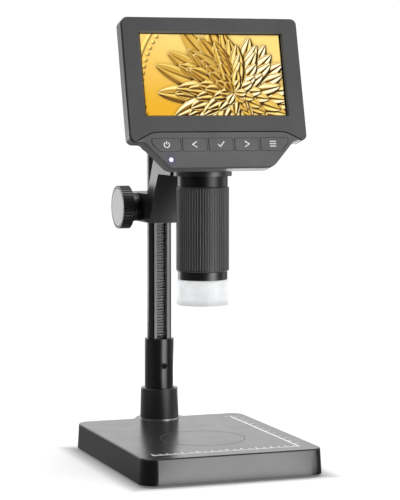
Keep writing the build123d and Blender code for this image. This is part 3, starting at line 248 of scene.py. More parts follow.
def gloss_paint(name, level, roughness, zones=(), **more):
    """Gloss black paint or polished plastic: slight orange peel, dust specks and faint haze."""
    finish = Finish(name, tone(level), roughness, **more)
    where = finish.place()
    peel = finish.noise(where, 700.0, 2.0)
    haze = finish.noise(where, 70.0, 3.0)
    specks = finish.noise(where, 2600.0, 0.0).step(0.74, 0.78)
    colour, rough = finish.over(
        zones, finish.mix(specks * 0.5, tone(level), tone(level * 1.8 + 10)),
        roughness + (haze - 0.5) * 0.08 + specks * 0.12)
    finish.set("Base Color", colour)
    finish.set("Roughness", rough)
    finish.bump(peel, 0.004 * MM)
    return finish.material


def brushed_metal(name, level, roughness, axis, tint=PLAIN, metallic=1.0):
    """Drawn or turned metal: fine lines along one axis, with varied gloss and colour."""
    finish = Finish(name, tone(level, tint), roughness, Metallic=metallic)
    fine, coarse = 4200.0, 60.0
    scale = tuple(coarse if letter == axis else fine for letter in "xyz")
    lines = finish.noise(finish.stretched(scale), 1.0, 2.0)
    cloud = finish.noise(finish.place(), 120.0, 3.0)
    finish.set("Base Color", finish.mix(lines * 0.6 + cloud * 0.4, tone(level * 0.85, tint),
                                        tone(min(255, level * 1.1), tint)))
    finish.set("Roughness", roughness + (lines - 0.5) * 0.15 + (cloud - 0.5) * 0.08)
    finish.bump(lines, 0.004 * MM)
    return finish.material


def faced_disc(name, level, roughness, centre, rim):
    """Turned face of a knob: fine rings about its axis along X, and a dark line inside its rim."""
    finish = Finish(name, tone(level), roughness, Specular_IOR_Level=0.38)
    y, z = finish.parts(finish.about(centre))[1:]
    far = (y * y + z * z) ** 0.5
    rings = finish.add("ShaderNodeMath", {"operation": "SINE"}, far * 22000.0)
    cloud = finish.noise(finish.place(), 160.0, 3.0)
    face = finish.mix(cloud.step(0.3, 0.7), tone(level * 0.97), tone(level * 1.03))
    edge = far.step(rim - 0.6 * MM, rim - 0.3 * MM)
    finish.set("Base Color", finish.mix(edge, face, tone(20)))
    finish.set("Roughness", roughness + rings * 0.03 + (cloud - 0.5) * 0.05 + edge * 0.4)
    finish.bump(rings * 0.5 + cloud * 0.5, 0.002 * MM)
    return finish.material


def frosted_plastic(name):
    """Frosted diffuser plastic: milky body with faint mottling and a finely blasted skin."""
    finish = Finish(name, (0.86, 0.87, 0.88), 0.50, Transmission_Weight=0.15, IOR=1.45,
                    Subsurface_Weight=0.4, Subsurface_Scale=0.004,
                    Subsurface_Radius=(1.0, 1.0, 1.0), Emission_Strength=0.36)
    where = finish.place()
    blast = finish.noise(where, 4200.0, 2.0)
    milk = finish.noise(where, 130.0, 3.0)
    finish.set("Base Color", finish.mix(milk.step(0.3, 0.7), (0.45, 0.46, 0.47),
                                        (0.50, 0.51, 0.52)))
    # Painted light: the cap glows with emission that stands in for the light of the lamps inside,
    # and is painted dimmer towards its top and bottom as painted shade.
    low, high = (corner.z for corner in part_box("diffuser_cap"))
    glow_band_painted = finish.parts(where)[2].band((low, low + 5 * MM), (high - 2.5 * MM, high))
    lit = glow_band_painted * (0.8 + 0.2 * milk.step(0.35, 0.65))
    finish.set("Emission Color", finish.mix(lit, (0.40, 0.40, 0.41), PLAIN))
    finish.set("Roughness", 0.50 + (milk - 0.5) * 0.12)
    finish.bump(blast, 0.006 * MM)
    return finish.material


def circuit_board(name, solder=(0.02, 0.16, 0.06)):
    """Circuit board: solder resist over a maze of copper tracks, with tinned spots."""
    finish = Finish(name, solder, 0.35)
    where = finish.place()
    tracks = finish.add("ShaderNodeTexVoronoi",
                        {"feature": "DISTANCE_TO_EDGE", "distance": "EUCLIDEAN"},
                        Vector=where, Scale=420.0)
    spots = finish.add("ShaderNodeTexVoronoi", {"feature": "F1", "distance": "CHEBYCHEV"},
                       Vector=where, Scale=260.0)
    line = 1 - tracks.step(0.03, 0.06)
    pad = 1 - spots.step(0.10, 0.13)
    lighter = tuple(min(1.0, c * 1.9 + 0.01) for c in solder)
    resist = finish.mix(line, solder, lighter)
    finish.set("Base Color", finish.mix(pad, resist, (0.62, 0.60, 0.55)))
    finish.set("Metallic", pad * 0.9)
    finish.set("Roughness", 0.38 - line * 0.08 - pad * 0.12)
    finish.bump(line * 0.5 + pad, 0.03 * MM)
    return finish.material


def rubber(name, level):
    """Soft black rubber: matt, dusty, with a pebbled skin."""
    finish = Finish(name, tone(level), 0.8)
    where = finish.place()
    pebble = finish.add("ShaderNodeTexVoronoi", {"feature": "F1"}, Vector=where, Scale=1800.0)
    dust = finish.noise(where, 220.0, 4.0)
    finish.set("Base Color", finish.mix(dust.step(0.45, 0.8), tone(level), tone(level * 1.7)))
    finish.set("Roughness", 0.76 + dust * 0.12)
    finish.bump(pebble, 0.03 * MM)
    return finish.material


def lens_glass(name):
    """Coated lens glass: clear, with a faint green-violet bloom and fine dust."""
    finish = Finish(name, (0.80, 0.88, 0.86), 0.03, Transmission_Weight=1.0, IOR=1.52)
    dust = finish.noise(finish.place(), 3000.0, 2.0)
    bloom = finish.noise(finish.place(), 180.0, 1.0)
    finish.set("Base Color", finish.mix(bloom.step(0.3, 0.7), (0.74, 0.90, 0.84),
                                        (0.86, 0.82, 0.95)))
    finish.set("Roughness", 0.02 + dust.step(0.6, 0.8) * 0.12)
    return finish.material


def window_glass(name):
    """Flat display window: a thin clear sheet, gloss on its face."""
    finish = Finish(name, (0.02, 0.02, 0.02), 0.05, IOR=1.45)
    smear = finish.noise(finish.place(), 90.0, 3.0)
    finish.set("Roughness", 0.05 + smear.step(0.4, 0.8) * 0.06)
    finish.set("Alpha", 0.035 + smear.step(0.5, 0.8) * 0.02)
    finish.material.surface_render_method = "BLENDED"
    return finish.material


LAMP_U, LAMP_V, LAMP_W = -34.0 * MM, -56.0 * MM, 1.5 * MM
LAMP = SCREEN + SCREEN_UP * LAMP_V + Vector((LAMP_U, 0, 0)) + SCREEN_OUT * LAMP_W


def far_from_lamp(finish):
    """Distance from the middle of the status lamp's face."""
    return finish.add("ShaderNodeVectorMath", {"operation": "DISTANCE"}, finish.place(), LAMP,
                      out=1)


def status_lamp(name):
    """Lit lamp lens: a violet-white glow, brightest in the middle."""
    finish = Finish(name, (0.75, 0.72, 0.95), 0.25, Emission_Strength=1.0)
    core = 1 - far_from_lamp(finish).step(0.7 * MM, 1.9 * MM)
    grain = finish.noise(finish.place(), 3000.0, 1.0)
    finish.set("Base Color", finish.mix(core, (0.14, 0.12, 0.24), (0.50, 0.48, 0.62)))
    finish.set("Emission Color", finish.mix(core, (0.16, 0.13, 0.34), (0.78, 0.76, 0.98)))
    finish.set("Roughness", 0.22 + grain * 0.08)
    return finish.material


def printed_ink(name, level, gloss=0.5):
    """Screen-printed ink: pinholes, thin spots and a soft matt face."""
    finish = Finish(name, tone(level), 0.55, Specular_IOR_Level=gloss)
    where = finish.place()
    thin = finish.noise(where, 900.0, 3.0)
    holes = finish.noise(where, 5200.0, 1.0).step(0.66, 0.74)
    body = finish.mix(thin.step(0.35, 0.75), tone(level), tone(level * 0.86))
    finish.set("Base Color", finish.mix(holes * 0.35, body, tone(level * 0.45)))
    finish.set("Roughness", 0.50 + thin * 0.15)
    finish.bump(thin, 0.004 * MM)
    return finish.material


def wrapped_cell(name):
    """Battery wrap: thin blue-grey film with soft creases along the cell."""
    finish = Finish(name, (0.10, 0.16, 0.26), 0.30)
    crease = finish.noise(finish.stretched((900, 40, 40)), 1.0, 3.0)
    finish.set("Base Color", finish.mix(crease, (0.08, 0.13, 0.22), (0.13, 0.20, 0.31)))
    finish.set("Roughness", 0.24 + crease * 0.14)
    finish.bump(crease, 0.05 * MM)
    return finish.material


def lit_picture(name):
    """The lit display: its light is the picture's own colours, over a dark face of faint grain."""
    finish = Finish(name, (0.02, 0.02, 0.02), 0.30, Emission_Strength=1.28, Specular_IOR_Level=0.02)
    shown = finish.add("ShaderNodeVertexColor", {"layer_name": "picture"})
    finish.set("Emission Color", shown)
    grain = finish.noise(finish.place(), 9000.0, 0.0)
    finish.set("Base Color", finish.mix(grain, (0.004, 0.004, 0.004), (0.010, 0.010, 0.010)))
    finish.set("Roughness", 0.28 + grain * 0.06)
    return finish.material


# ---- Zones: a share from 0 to 1 over one piece --------------------------------------------------
def middle(corners):
    """The middle of a box that is given by its two corners."""
    low, high = corners
    return (low + high) / 2


# Painted light: the top face of the base is painted lighter than its sides, standing in for the
# brighter reflection that it gets.
def painted_light_on_top(finish):
    """1 on the top face of the base, 0 on its sides."""
    return finish.along(STAGE, UP).step(-0.7 * MM, -0.1 * MM)


# Painted shade: the bevel along the front of the base is painted near black, standing in for the
# dark reflection at the top of its front face.
def front_edge_painted_shade(finish):
    """1 on the bevel along the front of the base."""
    bevel = finish.along(STAGE, UP).band((-0.95 * MM, -0.75 * MM), (-0.12 * MM, -0.02 * MM))
    return bevel * finish.along((0, cad_box[0].y, 0), FORWARD).step(-2.4 * MM, -1.8 * MM)


# Painted highlight: the foot of the collar is painted lighter, standing in for the broad highlight
# that it shows.
def collar_foot_painted_highlight(finish):
    """1 on the wide foot of the collar, 0 on its slim upper part."""
    return 1 - finish.along(STAGE, UP).step(21.0 * MM, 21.5 * MM)


# Painted light: the walls inside the channel of the column are painted light grey, lifting the
# shade in the channel.
def channel_painted_light(finish):
    """1 inside the channel of the column, 0 on its round and flat outside."""
    within = 1 - finish.along((0, 0, 0), RIGHT).size().step(3.8 * MM, 3.95 * MM)
    return within * finish.along(middle(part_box("column_cap")), FORWARD).step(0, 1 * MM)


# Painted highlight: the bottoms of the sleeve's grooves are painted lighter than its ribs, standing
# in for the bright lines that the ribbed surface catches.
def groove_painted_highlight(finish):
    """1 at the bottom of the sleeve's grooves and inside it, 0 on its ribs."""
    x, y = finish.parts(finish.place())[:2]
    far = (x * x + (y - AXIS_Y) ** 2) ** 0.5
    return 1 - far.step(16.86 * MM, 17.10 * MM)


# Painted shade: the outer sides of the display frame are painted near black, standing in for the
# shadow gap between the frame and the case.
def frame_sides_painted_shade(finish):
    """1 on the outer sides of the display frame, 0 on its front and in its opening."""
    across = finish.along(SCREEN, RIGHT).size()
    up = finish.along(SCREEN + SCREEN_UP * (OPENING_V * MM), SCREEN_UP).size()
    outside = across.step(50.5 * MM, 51 * MM).larger(up.step(29.5 * MM, 30 * MM))
    return outside * (1 - finish.along(SCREEN, SCREEN_OUT).step(1.15 * MM, 1.35 * MM))


# Painted light: a violet tint round the status lamp stands in for the glow of its light on the
# panel.
def lamp_painted_halo(finish):
    """1 beside the status lamp, fading over a few millimetres."""
    return (1 - far_from_lamp(finish).step(2.2 * MM, 5.5 * MM)) * 0.55


def foot_edge(finish):
    """1 on the lower edge of the button panel."""
    return 1 - finish.along(SCREEN, SCREEN_UP).step(-61.2 * MM, -60.9 * MM)


# ---- Finish of each carried-over node -----------------------------------------------------------
knob_centre = middle(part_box("knob_shaft"))
knob_face_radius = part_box("left_knob_cap")[1].z - knob_centre.z
finishes = {
    "stage": (moulded_plastic("stage_black", 14, 0.23, grain=0.30, relief=0.004,
                              zones=[(painted_light_on_top, tone(42), 0.0), (front_edge_painted_shade, tone(2), 0.6)]),
              ["base_shell"]),
    "cover": (moulded_plastic("cover_grain", 40, 0.55, grain=0.6, relief=0.03), ["base_cover"]),
    "ballast": (brushed_metal("ballast_steel", 120, 0.5, "x"), ["ballast_plate"]),
    "feet": (rubber("foot_rubber_skin", 34), ["rubber_feet"]),
    "screws": (brushed_metal("plated_screw", 170, 0.28, "z"),
               ["base_screws", "post_bolt", "board_screws", "housing_screws", "mount_screws",
                "tension_screw", "guide_pin", "knob_shaft"]),
    "grub": (brushed_metal("blackened_screw", 2, 0.75, "y", metallic=0.0), ["set_screw"]),
    "collar": (moulded_plastic("collar_black", 18, 0.24, grain=0.25, relief=0.004,
                               zones=[(collar_foot_painted_highlight, tone(30), 0.14)]), ["post_socket"]),
    "column": (gloss_paint("column_black", 8, 0.22, zones=[(channel_painted_light, tone(125), 0.25)],
                           Specular_IOR_Level=0.65), ["column_post", "column_cap"]),
    "rack": (brushed_metal("rack_black", 84, 0.38, "x", metallic=0.9), ["rack_strip"]),
    "bracket": (gloss_paint("bracket_black", 8, 0.37, Specular_IOR_Level=0.68),
                ["carriage_bracket"]),
    "bush": (moulded_plastic("bush_black", 8, 0.32, Specular_IOR_Level=0.25),
             ["left_bush", "right_bush", "tension_pad"]),
    "gear": (brushed_metal("pinion_brass_cut", 190, 0.3, "x", tint=(1.0, 0.82, 0.45)),
             ["pinion_gear"]),
    "knob": (moulded_plastic("knob_black", 20, 0.38, grain=0.3, relief=0.008),
             ["left_knob", "right_knob"]),
    "disc": (faced_disc("knob_disc_grey", 88, 0.32, knob_centre, knob_face_radius),
             ["left_knob_cap", "right_knob_cap"]),
    "bezel": (moulded_plastic("bezel_grey", 60, 0.42, grain=0.28, relief=0.008,
                              zones=[(frame_sides_painted_shade, tone(2), 0.55)]), ["display_bezel"]),
    "fascia": (moulded_plastic("fascia_grey", 78, 0.42, grain=0.28, relief=0.008,
                               zones=[(lamp_painted_halo, (0.055, 0.050, 0.105), 0.0),
                                      (foot_edge, tone(60), 0.5)]), ["control_fascia"]),
    "keys": (moulded_plastic("key_grey", 78, 0.40, grain=0.24, relief=0.006),
             ["power_button", "previous_button", "select_button", "next_button", "menu_button"]),
    "housing": (moulded_plastic("housing_grey", 80, 0.40, grain=0.32), ["rear_housing"]),
    "window": (window_glass("window_clear"), ["display_glass"]),
    "carrier": (brushed_metal("carrier_steel_sheet", 180, 0.35, "x"), ["display_carrier"]),
    "board": (circuit_board("board_green"), ["main_board", "button_board", "sensor_board"]),
    "lamp_board": (circuit_board("board_white", (0.66, 0.66, 0.64)), ["led_ring_board"]),
    "ports": (brushed_metal("port_plated", 190, 0.25, "y"), ["usb_port", "card_slot"]),
    "cell": (wrapped_cell("cell_wrap"), ["battery"]),
    "switches": (moulded_plastic("switch_black", 30, 0.5), ["tact_switches", "image_sensor"]),
    "lamp": (status_lamp("lamp_violet"), ["status_led"]),
    "neck": (gloss_paint("neck_gloss", 3, 0.36, Specular_IOR_Level=0.38),
             ["barrel_tube", "barrel_mount"]),
    "light_ring": (gloss_paint("ring_gloss", 10, 0.30, Specular_IOR_Level=0.58), ["light_ring"]),
    "leds": (moulded_plastic("lamp_white", 236, 0.3, tint=(1.0, 0.99, 0.90)), ["ring_leds"]),
    "frost": (frosted_plastic("cap_frost"), ["diffuser_cap"]),
    "sleeve": (moulded_plastic("sleeve_black", 32, 0.43, grain=0.25, relief=0.006,
                               zones=[(groove_painted_highlight, tone(78), -0.08)], Specular_IOR_Level=0.45),
               ["focus_sleeve"]),
    "mount": (brushed_metal("lens_mount_black", 24, 0.4, "z", metallic=0.5),
              ["lens_carrier", "lens_spacer", "lens_retainer"]),
    "lens": (lens_glass("lens_clear"), ["front_lens", "rear_lens"]),
}
for material, names in finishes.values():
    for name in names:
        for holder in nodes[name].material_slots:
            holder.material = material


# ---- Making pieces ----------------------------------------------------------------------------
INK_THICKNESS = 0.03 * MM


def piece(name, points, faces, material, body, slot=None):
    """A flat-shaded mesh from arrays of points and faces, with one finish, riding on a body."""
    mesh = bpy.data.meshes.new(name)
    mesh.from_pydata(np.asarray(points, float).reshape(-1, 3).tolist(), [],
                     [list(map(int, f)) for f in faces])
    mesh.validate()
    mesh.materials.append(material)
    mesh.polygons.foreach_set("use_smooth", [False] * len(mesh.polygons))
    made = bpy.data.objects.new(name, mesh)
    scene.collection.objects.link(made)
    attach(made, body)
    return made


def grid_faces(rows, columns, closed=False):
    """Quads that join a grid of points counted row by row; closed joins its last column to the
    first."""
    across = columns if closed else columns - 1
    r, c = np.meshgrid(np.arange(rows - 1), np.arange(across), indexing="ij")
    d = (c + 1) % columns
    near, far = r * columns, (r + 1) * columns
    return np.stack([near + c, near + d, far + d, far + c], -1).reshape(-1, 4)


def prisms(outlines, low, high):
    """Closed thin solids over n flat outlines of k points each: they reach from low to high."""
    outlines = np.asarray(outlines, float)
    count, corners = outlines.shape[:2]
    heights = np.array([low, high])
    points = np.concatenate([
        np.repeat(outlines[:, None], 2, axis=1),
        np.broadcast_to(heights[None, :, None, None], (count, 2, corners, 1))], -1)
    ring = np.arange(corners)
    nxt = (ring + 1) % corners
    sides = np.stack([ring, nxt, nxt + corners, ring + corners], -1)
    faces = []
    for start in range(0, count * 2 * corners, 2 * corners):
        faces += [list(start + ring[::-1]), list(start + corners + ring)]
        faces += (start + sides).tolist()
    return points.reshape(-1, 3), faces


def bars(centres, widths, heights):
    """Upright rectangles in a plane: one for each centre, width and height."""
    centres = np.asarray(centres, float)
    half = np.stack([np.broadcast_to(size, len(centres)) for size in (widths, heights)], -1) / 2
    signs = np.array([(-1, -1), (1, -1), (1, 1), (-1, 1)])
    return centres[:, None] + half[:, None] * signs


def ring_band(centre, radius, width, count, low, high):
    """A flat ring as a closed solid: a rectangle of its width and height carried round a circle."""
    turn = np.linspace(0, 2 * np.pi, count, endpoint=False)
    section = np.array([(-width / 2, low), (width / 2, low), (width / 2, high), (-width / 2, high)])
    reach = radius + section[:, 0][:, None] + 0 * turn
    tall = section[:, 1][:, None] + 0 * turn
    points = np.stack([centre[0] + reach * np.cos(turn), centre[1] + reach * np.sin(turn), tall],
                      -1)
    corners = len(section)
    faces = grid_faces(corners + 1, count, True) % (corners * count)
    return points.reshape(-1, 3), faces[:, ::-1]


# ---- Scales printed on the stage ----------------------------------------------------------------
ink = printed_ink("ink_white", 240)
faint_ink = printed_ink("ink_grey", 84, gloss=0.05)
INK_LOW, INK_HIGH = STAGE_Z, STAGE_Z + INK_THICKNESS
CIRCLE_RADIUS, CIRCLE_LINE = 27.7 * MM, 0.42 * MM


def stage_scales():
    """Two rules that meet at the front right: one towards the column and one along the front.

    Each is a line of constant width, placed in mm from the optical axis. The divisions of the
    side one are bars at each centimetre from its zero, and those of the front one are bars at
    each millimetre, longer at each fifth and tenth. A short bar ends the side one."""
    side_x, side_middle, side_length, side_line, side_zero = 48.0, 13.95, 127.1, 1.5, -48.0
    end_x, end_y, end_width, end_line = side_x - 1.8, 76.9, 3.6, 1.2
    mark_x, mark_length, mark_line = side_x + 2.6, 4.0, 0.7
    front_y, front_middle, front_length, front_line, fine_line = -49.6, -1.0, 99.5, 0.7, 0.4
    marks = np.arange(10, 130, 10) + side_zero
    ticks = np.arange(-50, 48)
    fifth = ticks % 5 == 0
    reach = np.where(ticks % 10 == 0, 6.0, np.where(fifth, 4.4, 2.6))
    lines = [bars([(side_x, side_middle)], side_line, side_length),
             bars([(end_x, end_y)], end_width, end_line),
             bars(np.stack([np.full(len(marks), mark_x), marks], -1), mark_length, mark_line),
             bars([(front_middle, front_y)], front_length, front_line),
             bars(np.stack([ticks, front_y + reach / 2], -1),
                  np.where(fifth, front_line, fine_line), reach)]
    return prisms(np.concatenate(lines) * MM + np.array([0, AXIS_Y]), INK_LOW, INK_HIGH)


piece("stage_scales", *stage_scales(), ink, "stand")
piece("stage_circle",
      *ring_band((0, AXIS_Y), CIRCLE_RADIUS, CIRCLE_LINE, 180, INK_LOW, INK_HIGH),
      faint_ink, "stand")


# ---- Trim ring at the foot of the collar --------------------------------------------------------
TRIM_RADIUS, TRIM_WIDTH, TRIM_HEIGHT = 13.55 * MM, 0.7 * MM, 0.55 * MM
piece("collar_ring",
      *ring_band(middle(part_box("post_socket")).xy, TRIM_RADIUS, TRIM_WIDTH, 128,
                 STAGE_Z, STAGE_Z + TRIM_HEIGHT),
      brushed_metal("ring_satin", 190, 0.35, "z"), "stand")


# ---- Signs on the keys --------------------------------------------------------------------------
KEY_FACE = 1.8 * MM      # face of the keys in front of the glass
KEY_ROW = -46.35         # in mm: middle of the row of keys above the screen centre
SIGN_LINE = 0.62


def on_screen(points):
    """Places points given as across, up and out of the screen."""
    points = np.asarray(points, float).reshape(-1, 3)
    return (np.array(SCREEN) + points[:, :1] * np.array([1.0, 0, 0])
            + points[:, 1:2] * np.array(SCREEN_UP) + points[:, 2:] * np.array(SCREEN_OUT))


def stroke(points, width=SIGN_LINE):
    """A line of constant width along flat points: each is set off both ways across the line."""
    points = np.asarray(points, float)
    ahead = np.vstack([points[1:], points[-1:]])
    behind = np.vstack([points[:1], points[:-1]])
    along_in, along_out = points - behind, ahead - points
    along_in[~along_in.any(1)] = along_out[~along_in.any(1)]
    along_out[~along_out.any(1)] = along_in[~along_out.any(1)]
    unit_in = along_in / np.linalg.norm(along_in, axis=1)[:, None]
    unit_out = along_out / np.linalg.norm(along_out, axis=1)[:, None]
    normal = np.stack([-(unit_in + unit_out)[:, 1], (unit_in + unit_out)[:, 0]], -1)
    normal /= np.linalg.norm(normal, axis=1)[:, None]
    corner = (normal * np.stack([-unit_out[:, 1], unit_out[:, 0]], -1)).sum(1)
    side = normal * (width / 2 / np.maximum(corner, 0.4))[:, None]
    left, right = points + side, points - side
    return np.stack([right[:-1], right[1:], left[1:], left[:-1]], 1)


def key_sign(name, quads, across):
    """A printed sign on one key: its strokes are thin closed solids on the key's face."""
    points, faces = prisms((np.asarray(quads) + np.array([across, KEY_ROW])) * MM,
                           KEY_FACE, KEY_FACE + INK_THICKNESS)
    piece(name + "_sign", on_screen(points), faces, ink, name + "_key")


arc = np.radians(np.linspace(125, 415, 22))
ring = np.stack([1.75 * np.cos(arc), 1.75 * np.sin(arc) - 0.15], -1)
key_sign("power", np.concatenate([stroke(ring), stroke([(0, 0.2), (0, 2.2)])]), -36.2)
key_sign("previous", stroke([(1.5, 1.9), (-1.5, 0), (1.5, -1.9)]), -17.6)
key_sign("select", stroke([(-2.0, 0.1), (-0.6, -1.5), (2.2, 1.7)], 0.66), 0)
key_sign("next", stroke([(-1.5, 1.9), (1.5, 0), (-1.5, -1.9)]), 17.6)
key_sign("menu", np.concatenate([stroke([(-2.1, v), (2.1, v)], 0.6) for v in (-1.55, 0.0, 1.55)]),
         35.2)


# ---- Picture on the display ---------------------------------------------------------------------
# In mm: the lit area, and the panel round it with the places of its back and its face out of
# the screen.
PICTURE_W, PICTURE_H = 95.04, 53.86
PANEL_HALF_W, PANEL_HALF_H, PANEL_BACK, PANEL_FACE = 52.45, 33.15, -3.88, -1.03
FLOWER = (13.0, -12.0)
BEADS, BEAD_CIRCLE, BEAD_RADIUS, RIM_CIRCLE = 88, 61.5, 1.35, 65.5
LEAF_WIDTH, LEAF_LIFT, LEAF_RIDGES, PETAL_RIDGES = 6.4, 0.4, 5, 7
LEAVES = ((112, 47), (128, 53), (147, 50), (166, 54), (184, 51), (203, 55), (222, 48))
PETAL_RINGS = ((42, 17, 5.9), (36.5, 16, 5.6), (31, 15, 5.2), (25.5, 13, 4.9), (20, 11, 4.6),
               (14.5, 9, 4.0), (9, 6, 3.4))


def blade(height, u, v, root, turn, reach, width, lift, curl, ridges):
    """Lays one petal or leaf on a relief.

    Its half width swells and closes as a sine along its curled spine. Its height is a rounded
    back with a groove along the spine, fine ridges beside it, and a tip that lifts."""
    along = (u - root[0]) * math.cos(turn) + (v - root[1]) * math.sin(turn)
    aside = (v - root[1]) * math.cos(turn) - (u - root[0]) * math.sin(turn)
    share = np.clip(along / reach, 0, 1)
    aside = aside - curl * reach * share**2
    half = width * np.sin(np.pi * share**1.25) ** 0.62 + 1e-6
    across = aside / half
    inside = (along > 0) & (along < reach) & (np.abs(across) < 1)
    back = 1.5 * np.sqrt(np.clip(1 - across**2, 0, 1)) - 0.55 * np.exp(-(aside / 0.45) ** 2)
    comb = 0.30 * np.cos(ridges * np.arcsin(np.clip(across, -1, 1)) + 5.0 * share)
    return np.where(inside, lift + back + comb + 1.1 * share**2, height), inside


def relief_height(u, v):
    """Height of a struck gold relief at display places u, v in mm, and where its figure is.

    A large flower of seven rings of petals stands on a smooth field: each ring is shorter, and
    higher, than the one outside it. Long leaves reach out from under it, and a row of beads
    and a raised rim run round it on circles. A leaf is given by its bearing in degrees and its
    reach, and a ring of petals by its reach, its count and their half width."""
    rng = np.random.default_rng(11)
    height, figure = np.zeros_like(u), np.zeros_like(u, bool)
    far = np.hypot(u - FLOWER[0], v - FLOWER[1])
    bearing = np.arctan2(v - FLOWER[1], u - FLOWER[0])
    pitch = 2 * np.pi / BEADS
    gap = np.hypot(far - BEAD_CIRCLE, ((bearing + pitch / 2) % pitch - pitch / 2) * BEAD_CIRCLE)
    height = np.maximum(height, 1.2 * np.sqrt(np.clip(1 - (gap / BEAD_RADIUS) ** 2, 0, 1)))
    height = np.maximum(height, 0.9 * np.clip(1 - ((far - RIM_CIRCLE) / 1.2) ** 2, 0, 1) ** 0.5)
    for turn, reach in LEAVES:
        height, inside = blade(height, u, v, FLOWER, math.radians(turn), reach, LEAF_WIDTH,
                               LEAF_LIFT, 0.10 * rng.uniform(-1, 1), LEAF_RIDGES)
        figure |= inside
    for level, (reach, count, width) in enumerate(PETAL_RINGS):
        for k in rng.permutation(count):
            turn = 2 * np.pi * (k + 0.5 * (level % 2) + 0.16 * rng.uniform(-1, 1)) / count
            height, inside = blade(height, u, v, FLOWER, turn, reach * rng.uniform(0.92, 1.06),
                                   width, 1.0 + 0.75 * level,
                                   0.16 + 0.06 * rng.uniform(-1, 1), PETAL_RIDGES)
            figure |= inside
    return height, figure


def softened(field, spread):
    """A field blurred by a bell curve: its spectrum is damped by a bell of the inverse width."""
    rows, columns = np.meshgrid(*(np.fft.fftfreq(count) for count in field.shape), indexing="ij")
    damp = np.exp(-2 * (np.pi * spread) ** 2 * (rows**2 + columns**2))
    return np.fft.ifft2(np.fft.fft2(field) * damp).real


def picture_grid(columns, rows):
    """Places across and up the lit area, in mm from its middle."""
    return (np.linspace(-PICTURE_W / 2, PICTURE_W / 2, columns),
            np.linspace(-PICTURE_H / 2, PICTURE_H / 2, rows))


def relief_colours(columns, rows):
    """Colours of the lit picture: gold under a light from the upper left.

    The level is the light on the slope, darkened where the relief lies below its blurred
    surroundings and brightened where it mirrors the light; a ramp turns it into gold."""
    u, v = picture_grid(columns, rows)
    uu, vv = np.meshgrid(u, v)
    height, figure = relief_height(uu, vv)
    rise_v, rise_u = np.gradient(height, v, u)
    normal = np.stack([-rise_u, -rise_v, np.full_like(rise_u, 0.85)], -1)
    normal /= np.linalg.norm(normal, axis=-1)[..., None]
    light = np.clip(normal @ np.array([-0.50, 0.58, 0.64]), 0, 1)
    shine = np.clip(normal @ np.array([-0.28, 0.34, 0.90]), 0, 1) ** 22
    sunk = np.clip(softened(height, 4.5) - height, 0, 2.0)
    ramp_at = np.array([0.0, 0.22, 0.48, 0.75, 1.0])
    ramp = np.array([(0.020, 0.008, 0.001), (0.22, 0.095, 0.010), (0.62, 0.36, 0.050),
                     (0.92, 0.70, 0.20), (1.0, 0.93, 0.66)])
    level = np.clip(0.86 * light**1.15 + 0.50 * shine - 0.42 * sunk, 0, 1)
    struck = np.stack([np.interp(level, ramp_at, ramp[:, c]) for c in range(3)], -1)
    pale = np.clip(0.5 + (vv + 0.30 * uu + 4.0) / 52.0, 0, 1)[..., None]
    field = np.array([0.76, 0.40, 0.022]) * (1 - pale) + np.array([0.93, 0.66, 0.20]) * pale
    field = field * (1 + 1.1 * (light - 0.64) - 0.30 * sunk)[..., None]
    colour = np.clip(np.where(figure[..., None], struck, field), 0, 1)
    edge = np.minimum(np.minimum(uu + PICTURE_W / 2, PICTURE_W / 2 - uu),
                      np.minimum(vv + PICTURE_H / 2, PICTURE_H / 2 - vv))
    return colour * np.clip((edge - 0.35) / 0.35, 0, 1)[..., None]


def display_picture():
    """The display panel: a flat lit face on a grid, closed by a plain box behind it.

    The grid is the lit area's width by its height; its colours are kept on its points. A flat
    border runs from its edge out to the sides of the panel."""
    columns, rows = 384, 218
    uu, vv = np.meshgrid(*picture_grid(columns, rows))
    front = np.stack([uu, vv + OPENING_V, np.full_like(uu, PANEL_FACE)], -1).reshape(-1, 3)
    rim_index = np.concatenate([np.arange(columns), np.arange(1, rows) * columns + columns - 1,
                                (rows - 1) * columns + np.arange(columns - 2, -1, -1),
                                np.arange(rows - 2, 0, -1) * columns])
    around = len(rim_index)
    rim = front[rim_index]
    side = np.sign(rim - np.array([0, OPENING_V, PANEL_FACE]))
    grow = np.array([PANEL_HALF_W - PICTURE_W / 2, PANEL_HALF_H - PICTURE_H / 2, 0.0])
    on_edge = np.stack([np.isclose(np.abs(rim[:, 0]), PICTURE_W / 2),
                        np.isclose(np.abs(rim[:, 1] - OPENING_V), PICTURE_H / 2),
                        np.zeros(around, bool)], -1)
    outer = rim + side * grow * on_edge
    back = outer.copy()
    back[:, 2] = PANEL_BACK
    points = np.concatenate([front, outer, back])
    faces = grid_faces(rows, columns).tolist()
    ring = np.arange(around)
    nxt = (ring + 1) % around
    start, under = len(front), len(front) + around
    faces += np.stack([rim_index[nxt], rim_index[ring], start + ring, start + nxt], -1).tolist()
    faces += np.stack([start + nxt, start + ring, under + ring, under + nxt], -1).tolist()
    faces.append((under + ring[::-1]).tolist())
    made = piece("display_picture", on_screen(points * MM), faces, lit_picture("picture_lit"),
                 "head", "display_picture")
    colours = np.zeros((len(points), 4), np.float32)
    colours[:, 3] = 1.0
    colours[:len(front), :3] = relief_colours(columns, rows).reshape(-1, 3)
    attribute = made.data.attributes.new("picture", "FLOAT_COLOR", "POINT")
    attribute.data.foreach_set("color", colours.ravel())
    return made


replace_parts(display_picture(), "lcd_panel")


# ---- Studio -------------------------------------------------------------------------------------
# In metres: the rectangle that the narrow painted shadow on the floor runs round.
SHADOW_HALF_WIDTH, SHADOW_HALF_LENGTH, SHADOW_MID_Y = 0.0612, 0.0728, -0.0078
# Brightness of the lit floor as gloss surfaces see it, and the share of white near the object.
PATCH_FRONT, PATCH_RIGHT, PATCH_CORNER, FAR_GLOW, FLOOR_LIFT = 8.9, 4.8, 3.2, 5.0, 0.30


